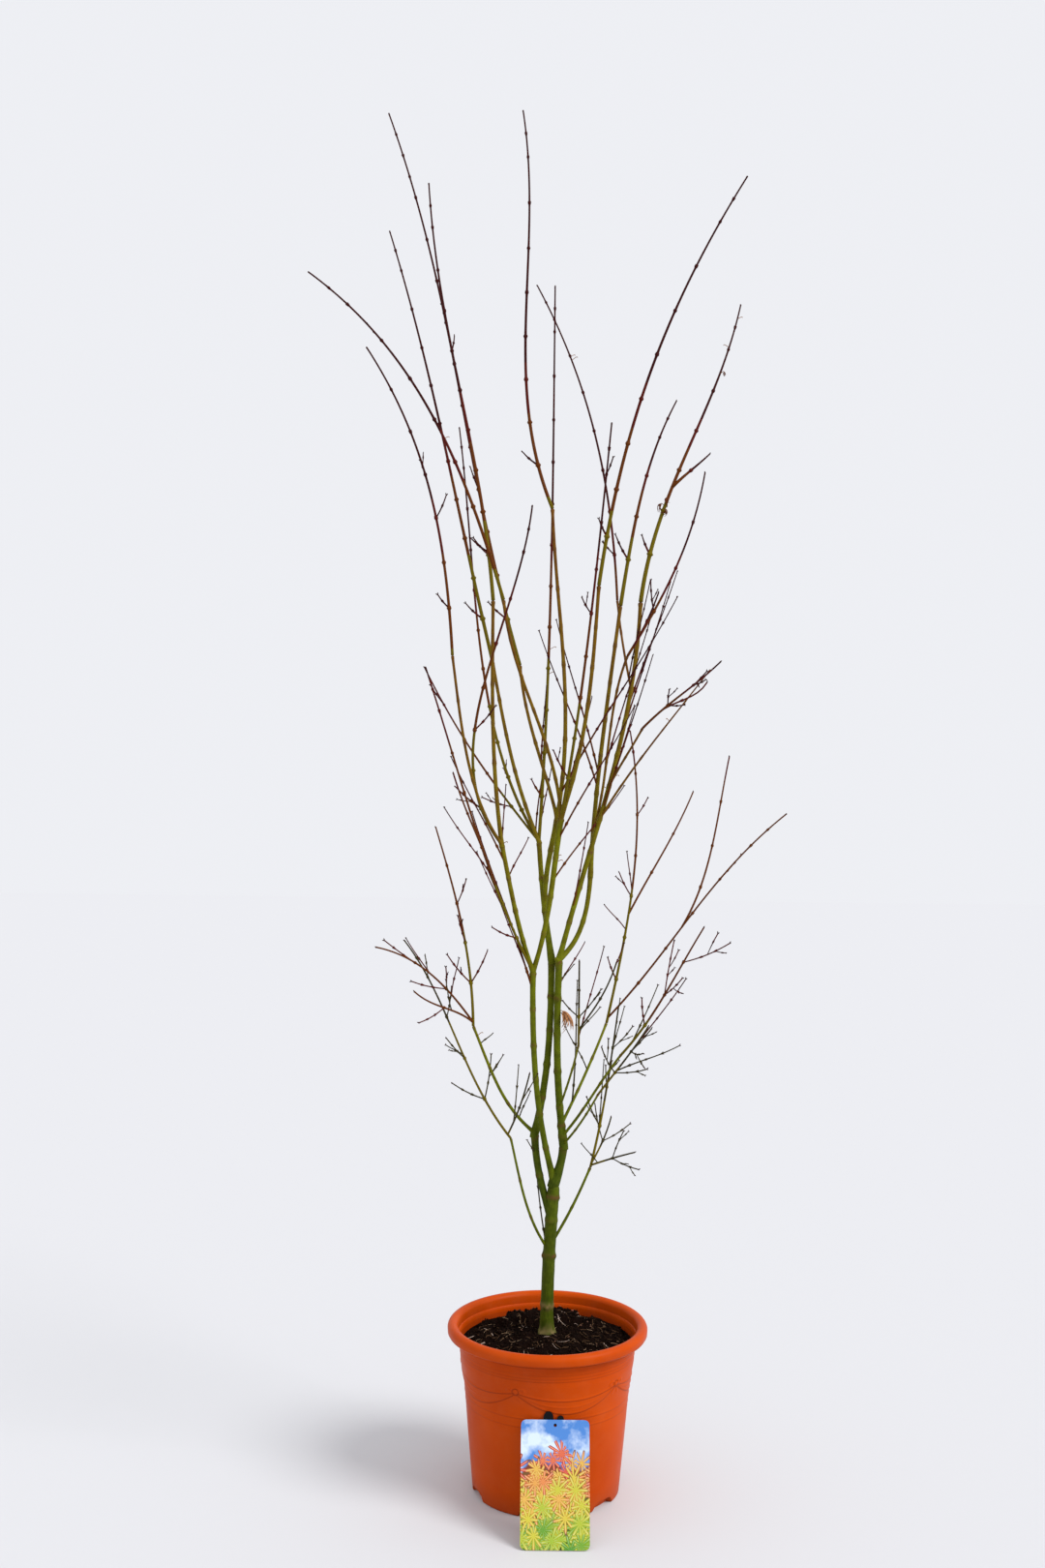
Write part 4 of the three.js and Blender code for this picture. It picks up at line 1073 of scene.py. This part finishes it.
compostShape = {"edge": 137.4, "edgeHeight": 239, "crown": 253.7, "seat": 17, "rows": 90, "columns": 220,
                "ballCentre": (-4, 22), "ballRadius": 84, "ballRise": 14, "ballBack": 22,
                "lumps": ((3.8, 38, 11), (1.9, 15, 12), (1.1, 6.5, 13)), "skirt": (0.985, 22),
                "seed": 5}
crumbShape = {"crumbs": 3200, "chips": 70, "size": (0.8, 2.6), "stretch": (0.6, 1.3),
              "chip": (2.0, 1.0, 0.45), "uneven": 0.16, "sunk": 0.35}
fibreShape = {"count": 260, "bend": 0.7, "step": (2, 7.5), "above": (0.8, 3.2), "thick": (0.22, 0.5),
              "profile": (0.6, 1, 1, 1, 1, 0.9, 0.8, 0.4), "sides": 4, "tones": (0.3, 0.12, 0.58)}


def compostHeight(x, y):
    # A quarter sine from the edge up to the trunk, plus lumps of three sizes, plus the root ball: a
    # low plateau with a ragged edge, at the back only. All of it is calmer at the trunk and the wall.
    shape = compostShape
    radius = np.hypot(x, y)
    share = np.clip((shape["edge"] - radius) / (shape["edge"] - shape["seat"]), 0, 1)
    base = shape["edgeHeight"] + (shape["crown"] - shape["edgeHeight"]) * np.sin(share * np.pi / 2)
    flat = np.stack([x, y], -1)
    off = np.hypot(x - shape["ballCentre"][0], y - shape["ballCentre"][1]) + 7 * waves(flat, 45, 3)
    back = np.clip((y - shape["ballBack"]) / 22, 0, 1)
    ball = np.clip((shape["ballRadius"] - off) / 7, 0, 1) * back
    lumps = sum(rise * waves(flat, size, seed) for rise, size, seed in shape["lumps"])
    calm = np.clip((radius - 13) / 14, 0, 1) * np.clip((shape["edge"] - radius) / 6, 0.15, 1)
    return base + (lumps + shape["ballRise"] * ball * (0.8 + 0.35 * waves(flat, 26, 14))) * calm


def compostMaterial(name, dark, light, roughness):
    material, tree, shader = newMaterial(name, roughness=roughness, specular=0.04)
    grain = noiseAt(tree, objectPlace(tree), 420, 6, 0.7)
    tree.links.new(mixColour(tree, mapRange(tree, grain, 0.42, 0.72), dark, light),
                   shader.inputs["Base Color"])
    bumpInto(tree, shader, grain, 0.8, 0.001)
    return material


def compostSkin():
    # rings of points at compostHeight, with a skirt that drops inside the pot's wall
    shape = compostShape
    reach = np.linspace(0.03, 1, shape["rows"])[:, None] * shape["edge"]
    angle = np.arange(shape["columns"]) * 2 * np.pi / shape["columns"]
    x, y = reach * np.cos(angle), reach * np.sin(angle)
    skin = np.stack([x, y, compostHeight(x, y)], -1).reshape(-1, 3)
    inwards, drop = shape["skirt"]
    edge = skin[-shape["columns"]:] * (inwards, inwards, 1) - (0, 0, drop)
    points = np.concatenate([skin, edge, [(0, 0, 253), (0, 0, 215)]])
    ring = np.arange(shape["columns"])
    top = fanFaces(len(points) - 2, ring)
    under = fanFaces(len(points) - 1, ring + shape["rows"] * shape["columns"], inward=True)
    quads = gridFaces(shape["rows"] + 1, shape["columns"])[:, ::-1]
    peat = compostMaterial("darkPeat", (0.003, 0.0012, 0.0008), (0.013, 0.005, 0.003), 0.95)
    piece = putMesh("compost-surface", points, quads, np.concatenate([top, under]), materials=[peat])
    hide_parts("compost")


def spreadOut(chance, count, inner, outer, margin):
    # points spread evenly over a ring: the radius goes by the square root
    far = np.sqrt(chance.uniform(inner, outer, count)) * (compostShape["edge"] - margin)
    turn = chance.uniform(0, 2 * np.pi, count)
    return np.stack([far * np.cos(turn), far * np.sin(turn)], -1)


def crumbs(chance):
    # small eight-sided lumps, turned and stretched at random, in two plain browns, and a few chips
    shape = crumbShape
    count = shape["crumbs"] + shape["chips"]
    centre = spreadOut(chance, count, 0.014, 0.94, 2)
    size = chance.uniform(*shape["size"], (count, 1)) * chance.uniform(*shape["stretch"], (count, 3))
    size[shape["crumbs"]:] *= shape["chip"]
    lump = np.array([(1, 0, 0), (0, 1, 0), (-1, 0, 0), (0, -1, 0), (0, 0, 1), (0, 0, -1)], float)
    lump = lump * size[:, None] + chance.normal(0, shape["uneven"], (count, 6, 3)) * size[:, None]
    spin = chance.uniform(0, 2 * np.pi, count)
    c, s = np.cos(spin)[:, None], np.sin(spin)[:, None]
    x, y, z = lump[..., 0], lump[..., 1], lump[..., 2]
    height = compostHeight(centre[:, 0], centre[:, 1]) + size[:, 2] * shape["sunk"]
    lump = np.stack([x * c - y * s + centre[:, :1], x * s + y * c + centre[:, 1:],
                     z + height[:, None]], -1)
    ring = np.arange(4)
    sides = np.concatenate([fanFaces(4, ring), fanFaces(5, ring, inward=True)])[:, [1, 2, 0]]
    tris = (sides[None] + np.arange(count)[:, None, None] * 6).reshape(-1, 3)
    tone = np.where(np.arange(count) < shape["crumbs"], chance.integers(0, 2, count), 2)
    browns = [compostMaterial("crumbDark", (0.003, 0.0014, 0.0009), (0.012, 0.005, 0.003), 0.95),
              compostMaterial("crumbBrown", (0.008, 0.004, 0.0025), (0.028, 0.013, 0.007), 0.9),
              compostMaterial("barkChip", (0.10, 0.045, 0.030), (0.22, 0.12, 0.08), 0.8)]
    piece = putMesh("compost-crumbs", lump.reshape(-1, 3), np.zeros((0, 4)), tris,
                    slots=np.repeat(tone, len(sides)), materials=browns)


def fibres(chance):
    # short bent threads that lie on the crumbs: three steps from a foot, each turned from the last
    shape = fibreShape
    count = shape["count"]
    foot = spreadOut(chance, count, 0.02, 0.88, 8)
    way = chance.uniform(0, 2 * np.pi, count)[:, None]
    east = np.cos(way + chance.normal(0, shape["bend"], (count, 3)).cumsum(1))
    north = np.sin(way + chance.normal(0, shape["bend"], (count, 3)).cumsum(1))
    steps = np.cumsum(np.stack([east, north], -1) * chance.uniform(*shape["step"], (count, 1, 1)), 1)
    flat = np.concatenate([foot[:, None], foot[:, None] + steps], 1)
    flat *= np.minimum(1, (compostShape["edge"] - 4) / np.hypot(flat[..., 0], flat[..., 1]))[..., None]
    rise = compostHeight(flat[..., 0], flat[..., 1]) + chance.uniform(*shape["above"], (count, 4))
    lines = np.concatenate([flat, rise[..., None]], -1)
    rings = len(shape["profile"])
    thick = chance.uniform(*shape["thick"], (count, 1)) * np.array(shape["profile"])
    threads = tubes(lines, np.tile(np.linspace(0, 1, rings), (count, 1)), thick, shape["sides"])
    tone = chance.choice(3, count, p=shape["tones"])
    slots = np.concatenate([np.repeat(tone, (rings - 1) * shape["sides"]),
                            np.repeat(tone, 2 * shape["sides"])])
    paleTones = [plainMaterial("rootFibre", (0.30, 0.20, 0.12), 0.8),
                 plainMaterial("paleFibre", (0.55, 0.42, 0.34), 0.8),
                 plainMaterial("brownFibre", (0.11, 0.06, 0.03), 0.8)]
    piece = putMesh("compost-fibres", threads["points"], threads["quads"], threads["tris"], slots=slots,
                    materials=paleTones)


compostSkin()
compostChance = np.random.default_rng(compostShape["seed"])
crumbs(compostChance)
fibres(compostChance)
print("compost done")


# Withered leaves and leaf stalks that still hang in the crown

leafShape = {"lobes": 7, "rows": 9, "across": 5, "width": 0.085, "fan": 22, "curl": 0.75, "narrow": 0.25,
             "stalk": 8, "lean": 70, "darkUnder": 20, "thickness": 0.35, "firstSeed": 3}
stalkShape = {"lean": 58, "sag": 0.25, "radius": 0.55, "rings": 9, "sides": 6}
# what it hangs from, at what height, size in mm, bearing it hangs towards, droop
leafRows = [("right-upper-stem", 772, 40, -12, 0.8), ("right-upper-stem", 768, 33, 10, 1.15),
            (("heart-right-twigs", 0), 1590, 15, -100, 1.9), (("heart-right-twigs", 0), 1580, 16, 200, 1.7),
            (("heart-right-twigs", 0), 1571, 12, -60, 2.2), (("heart-right-twigs", 0), 1797, 8, -40, 1.6)]
# what it hangs from, at what height, length, bearing: thin dry stalks
stalkRows = [(("centre-twigs", 0), 1349, 14, 10), (("centre-twigs", 0), 1309, 12, -20),
             ("heart-bough", 1013, 15, -20), ("heart-bough", 1022, 11, 20),
             ("heart-right-bough", 1145, 15, -10), ("heart-right-bough", 1128, 12, 190),
             ("right-side-shoot", 1238, 13, 240), (("heart-right-twigs", 0), 1888, 10, 10),
             (("heart-right-twigs", 0), 1841, 11, 190), (("crossing-twigs", 0), 1830, 13, 330),
             (("crossing-twigs", 0), 1836, 10, 20), (("tall-right-twigs", 0), 1484, 12, 200),
             (("back-left-twigs", 0), 1692, 12, 20), ("upper-left-bough", 1045, 14, -40),
             ("left-bough", 742, 12, 30)]


def deadLeafMaterial():
    material, tree, shader = newMaterial("witheredLeaf", roughness=0.7, sheen=0.2)
    veins = noiseAt(tree, objectPlace(tree), 260, 5, 0.65)
    colour = mixColour(tree, mapRange(tree, veins, 0.35, 0.65), (0.26, 0.085, 0.022), (0.52, 0.24, 0.075))
    tree.links.new(colour, shader.inputs["Base Color"])
    bumpInto(tree, shader, veins, 0.5, 0.0006)
    return material


def leafLobe(lobe, size, bearing, droop, chance):
    # A lobe is a strip. Its half width is its length times width times about the sine of the way
    # along it, it is folded up at both sides, and it curls down more and more towards its tip.
    shape = leafShape
    middle = (shape["lobes"] - 1) / 2
    u = np.linspace(0, 1, shape["rows"])[:, None]
    v = np.linspace(-1, 1, shape["across"])[None]
    long = size * (1 - 0.4 * abs(lobe - middle) / middle) * chance.uniform(0.85, 1.1)
    half = shape["width"] * long * np.sin(np.pi * u ** 0.75) ** 0.8 + shape["narrow"]
    curl = 0.5 + shape["curl"] * droop * u ** 1.3 * chance.uniform(0.6, 1.3)
    fold = chance.uniform(0.5, 1.1) * half * np.abs(v)
    ahead = long * u * np.cos(curl) + fold * 0.4
    side = half * v * 0.7 + np.sin(u * 7 + lobe) * 0.7
    turn = math.radians((lobe - middle) * shape["fan"]) + math.radians(bearing)
    c, s = math.cos(turn), math.sin(turn)
    return np.stack([ahead * c - side * s, ahead * s + side * c, fold - long * u * np.sin(curl)], -1)


def witheredLeaves():
    # seven lobes fan out from the end of each leaf's stalk; the stalks are drawn with the dry ones
    shape = leafShape
    parts, lines = [], []
    for index, (host, height, size, bearing, droop) in enumerate(leafRows):
        chance = np.random.default_rng(index + shape["firstSeed"])
        foot = hostPoint(host, height)
        way = heading(shape["lean"], bearing)
        place = foot + way * shape["stalk"]
        lines.append(np.array([foot, foot + way * 3, place + (0, 0, 3), place]))
        for lobe in range(shape["lobes"]):
            points = leafLobe(lobe, size, bearing, droop, chance) + place
            faces = gridFaces(shape["rows"], shape["across"], closed=False)
            slots = np.full(len(faces), int(size < shape["darkUnder"]))
            parts.append({"points": points.reshape(-1, 3), "quads": faces, "tris": np.zeros((0, 3), int),
                          "quadSlots": slots, "triSlots": slots[:0]})
    points, quads, tris, slots = joined(parts)
    leafColours = [deadLeafMaterial(), plainMaterial("shrivelledLeaf", (0.12, 0.034, 0.010), 0.7)]
    piece = putMesh("withered-leaves", points, quads, tris, slots=slots, materials=leafColours)
    piece.modifiers.new("thickness", "SOLIDIFY").thickness = shape["thickness"] * mm
    return lines


def dryStalks(lines):
    # a stalk leans out from its host and sags by a quarter of its length
    shape = stalkShape
    for host, height, long, bearing in stalkRows:
        foot = hostPoint(host, height)
        way = heading(shape["lean"], bearing)
        tip = foot + way * long + (0, 0, -long * shape["sag"])
        lines.append(np.array([foot, foot + way * long * 0.4, tip + (0, 0, long * 0.3), tip]))
    stations = np.tile(np.linspace(0, 1, shape["rings"]), (len(lines), 1))
    stalks = tubes(np.array(lines), stations, np.full(stations.shape, shape["radius"]), shape["sides"])
    dry = plainMaterial("dryStalk", (0.24, 0.10, 0.035), 0.7)
    piece = putMesh("dry-stalks", stalks["points"], stalks["quads"], stalks["tris"], materials=[dry])


dryStalks(witheredLeaves())
print("withered leaves done")


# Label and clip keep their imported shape

# scale of the cells, petals, shift in metres, and how high up the card the bursts reach
burstLayers = [(64, 3.5, 0.10, 0.66), (88, 2.5, 0.52, 0.70), (46, 4.5, 0.06, 0.80), (34, 5.5, 0.0, 0.84),
               (40, 4.5, 0.31, 0.72)]
labelLook = {"height": 0.164, "skyBlue": (0.07, 0.22, 0.58), "cloud": (0.62, 0.74, 0.90),
             "ground": [(0.0, (0.02, 0.07, 0.012)), (0.3, (0.07, 0.10, 0.015)), (0.55, (0.16, 0.10, 0.02)),
                        (0.66, (0.18, 0.03, 0.02))],
             "leaf": [(0.14, (0.05, 0.26, 0.012)), (0.34, (0.27, 0.42, 0.015)), (0.54, (0.56, 0.50, 0.03)),
                      (0.68, (0.66, 0.40, 0.06)), (0.8, (0.66, 0.14, 0.05)), (0.92, (0.52, 0.02, 0.04))],
             "rim": [(0.14, (0.16, 0.36, 0.012)), (0.40, (0.62, 0.56, 0.05)), (0.60, (0.60, 0.14, 0.03)),
                     (0.80, (0.52, 0.015, 0.035))],
             "vein": (0.85, 0.78, 0.50), "veinShare": 0.35, "outline": (0.06, 0.022, 0.006),
             "outlineShare": 0.85}


def burstGroup():
    # Pointed petals round the centre of every cell of a cell pattern in a plane: a point lies in a
    # burst where its distance from the centre is under a reach that rises and falls with its angle.
    # Burst is the whole shape, Edge its outer part, Outline its border and Vein the middle line of
    # each petal. Centre is the height of the cell's centre and Chance a number of its own.
    group, given, out = newGroup("petalBursts", {"Vector": None, "Scale": 30.0, "Petals": 4.5},
                                 ("Burst", "Centre", "Chance", "Edge", "Outline", "Vein"))
    cells = nodeIn(group, "ShaderNodeTexVoronoi", (-700, 0), voronoi_dimensions="2D")
    cells.inputs["Randomness"].default_value = 0.8
    group.links.new(given.outputs["Vector"], cells.inputs["Vector"])
    group.links.new(given.outputs["Scale"], cells.inputs["Scale"])
    away = nodeIn(group, "ShaderNodeVectorMath", (-500, 0), operation="SUBTRACT")
    group.links.new(given.outputs["Vector"], away.inputs[0])
    group.links.new(cells.outputs["Position"], away.inputs[1])
    parts = axesOf(group, away.outputs[0])
    tint = nodeIn(group, "ShaderNodeSeparateColor", (-300, -200))
    group.links.new(cells.outputs["Color"], tint.inputs[0])
    angle = mathNode(group, "ARCTAN2", parts["Y"], parts["X"])
    turned = mathNode(group, "MULTIPLY_ADD", angle, given.outputs["Petals"], tint.outputs["Red"])
    wave = mathNode(group, "ABSOLUTE", mathNode(group, "COSINE", turned))
    reach = mathNode(group, "MULTIPLY_ADD", mathNode(group, "POWER", wave, 2.2), 0.72, 0.16)
    share = mathNode(group, "DIVIDE", cells.outputs["Distance"], reach)
    middle = axesOf(group, cells.outputs["Position"])
    for label, value in (("Burst", mapRange(group, share, 0.97, 1.03, 1, 0)),
                         ("Edge", mapRange(group, share, 0.45, 0.95)),
                         ("Outline", mapRange(group, share, 0.80, 0.92)),
                         ("Vein", mathNode(group, "POWER", wave, 40.0)),
                         ("Centre", middle["Y"]), ("Chance", tint.outputs["Green"])):
        group.links.new(value, out.inputs[label])
    return group


def burstLayer(tree, bursts, flat, base, row):
    # one layer of bursts over the base colour: greener low on the card and redder up
    look = labelLook
    scale, petals, shift, top = row
    layer = groupIn(tree, bursts, Scale=scale, Petals=petals)
    moved = nodeIn(tree, "ShaderNodeVectorMath", (-1700, 0), operation="ADD")
    tree.links.new(flat, moved.inputs[0])
    moved.inputs[1].default_value = (shift, 0, 0)
    tree.links.new(moved.outputs[0], layer.inputs["Vector"])
    given = layer.outputs
    level = mapRange(tree, given["Centre"], 0, look["height"])
    tone = mathNode(tree, "MULTIPLY_ADD", given["Chance"], 0.42, level)
    leaf = mixColour(tree, given["Edge"], ramp(tree, tone, look["leaf"]), ramp(tree, tone, look["rim"]))
    vein = mathNode(tree, "MULTIPLY", given["Vein"], look["veinShare"])
    leaf = mixColour(tree, vein, leaf, look["vein"])
    outline = mathNode(tree, "MULTIPLY", given["Outline"], look["outlineShare"])
    leaf = mixColour(tree, outline, leaf, look["outline"])
    highest = mathNode(tree, "MULTIPLY_ADD", given["Chance"], -0.25, top)
    mask = mathNode(tree, "MULTIPLY", given["Burst"], mathNode(tree, "LESS_THAN", level, highest))
    return mixColour(tree, mask, base, leaf)


def labelMaterial():
    # A leafy design in plain nodes: petal bursts, green at the foot, yellow, then orange and red
    # ones that stand up into a pale sky.
    look = labelLook
    material, tree, shader = newMaterial("printedCard", roughness=0.3, coat=0.15, coatRoughness=0.1,
                                         specular=0.2)
    place = objectPlace(tree)
    axes = axesOf(tree, place)
    flat = nodeIn(tree, "ShaderNodeCombineXYZ", (-2000, 0))
    tree.links.new(axes["X"], flat.inputs["X"])
    tree.links.new(axes["Z"], flat.inputs["Y"])
    height = mapRange(tree, axes["Z"], 0, look["height"])
    cloud = noiseAt(tree, place, 26, 4, 0.55)
    base = mixColour(tree, mapRange(tree, cloud, 0.44, 0.62), look["skyBlue"], look["cloud"])
    ragged = mathNode(tree, "MULTIPLY_ADD", cloud, 0.5, height)
    low = mapRange(tree, ragged, 0.84, 0.88, 1, 0)
    base = mixColour(tree, low, base, ramp(tree, height, look["ground"]))
    bursts = burstGroup()
    for row in burstLayers:
        base = burstLayer(tree, bursts, flat.outputs[0], base, row)
    tree.links.new(base, shader.inputs["Base Color"])
    return material


def clipMaterial():
    material, tree, shader = newMaterial("blackPlastic", roughness=0.5, specular=0.12)
    scuffs = groupIn(tree, plasticScuffs, Size=90.0).outputs
    dust = mapRange(tree, scuffs["Dust"], 0, 1, 0, 0.12)
    tree.links.new(mixColour(tree, dust, (0.004, 0.004, 0.005), (0.05, 0.045, 0.04)),
                   shader.inputs["Base Color"])
    bumpInto(tree, shader, scuffs["Height"], 0.2, 0.0002)
    return material


for node, material in (("label", labelMaterial()), ("label-clip", clipMaterial())):
    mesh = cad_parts[node].data
    mesh.materials.clear()
    mesh.materials.append(material)
print("label done")


# Floor, light and camera

studio = {"floorSize": 16.0, "floorColour": (0.636, 0.636, 0.648), "sky": (0.90, 0.91, 0.95),
          "skyStrength": 0.95, "sunStrength": 2.3, "sunSpread": 26, "sunLean": 49, "sunBearing": -30}
lens = {"place": (-0.050, -2.955, 1.306), "lens": 43.0, "sensor": 36, "pitch": 3.29, "roll": 0.65}

half = studio["floorSize"] / 2
floorMesh = bpy.data.meshes.new("studio-floor")
floorMesh.from_pydata([(-half, -half, 0), (half, -half, 0), (half, half, 0), (-half, half, 0)], [],
                      [(0, 1, 2, 3)])
floor = bpy.data.objects.new("studio-floor", floorMesh)
bpy.context.scene.collection.objects.link(floor)
floorMaterial, floorNodes, floorShader = newMaterial("paleFloor", roughness=1.0, specular=0.0)
floorShader.inputs["Base Color"].default_value = (*studio["floorColour"], 1)
floorMesh.materials.append(floorMaterial)

world = bpy.data.worlds.new("softSky")
bpy.context.scene.world = world
world.use_nodes = True
world.node_tree.nodes["Background"].inputs["Color"].default_value = (*studio["sky"], 1)
world.node_tree.nodes["Background"].inputs["Strength"].default_value = studio["skyStrength"]

sun = bpy.data.lights.new("keyLight", "SUN")
sun.energy = studio["sunStrength"]
sun.angle = math.radians(studio["sunSpread"])
sunHolder = bpy.data.objects.new("keyLight", sun)
bpy.context.scene.collection.objects.link(sunHolder)
towards = Vector(heading(studio["sunLean"], studio["sunBearing"]))
sunHolder.matrix_world = towards.to_track_quat("Z", "Y").to_matrix().to_4x4()

camera = bpy.data.objects.new("camera", bpy.data.cameras.new("camera"))
camera.data.lens = lens["lens"]
camera.data.sensor_width = lens["sensor"]
bpy.context.scene.collection.objects.link(camera)
camera.matrix_world = (Matrix.Translation(lens["place"])
                       @ Matrix.Rotation(math.radians(90 - lens["pitch"]), 4, "X")
                       @ Matrix.Rotation(math.radians(lens["roll"]), 4, "Z"))
bpy.context.scene.camera = camera
bpy.context.scene.view_settings.view_transform = "Standard"
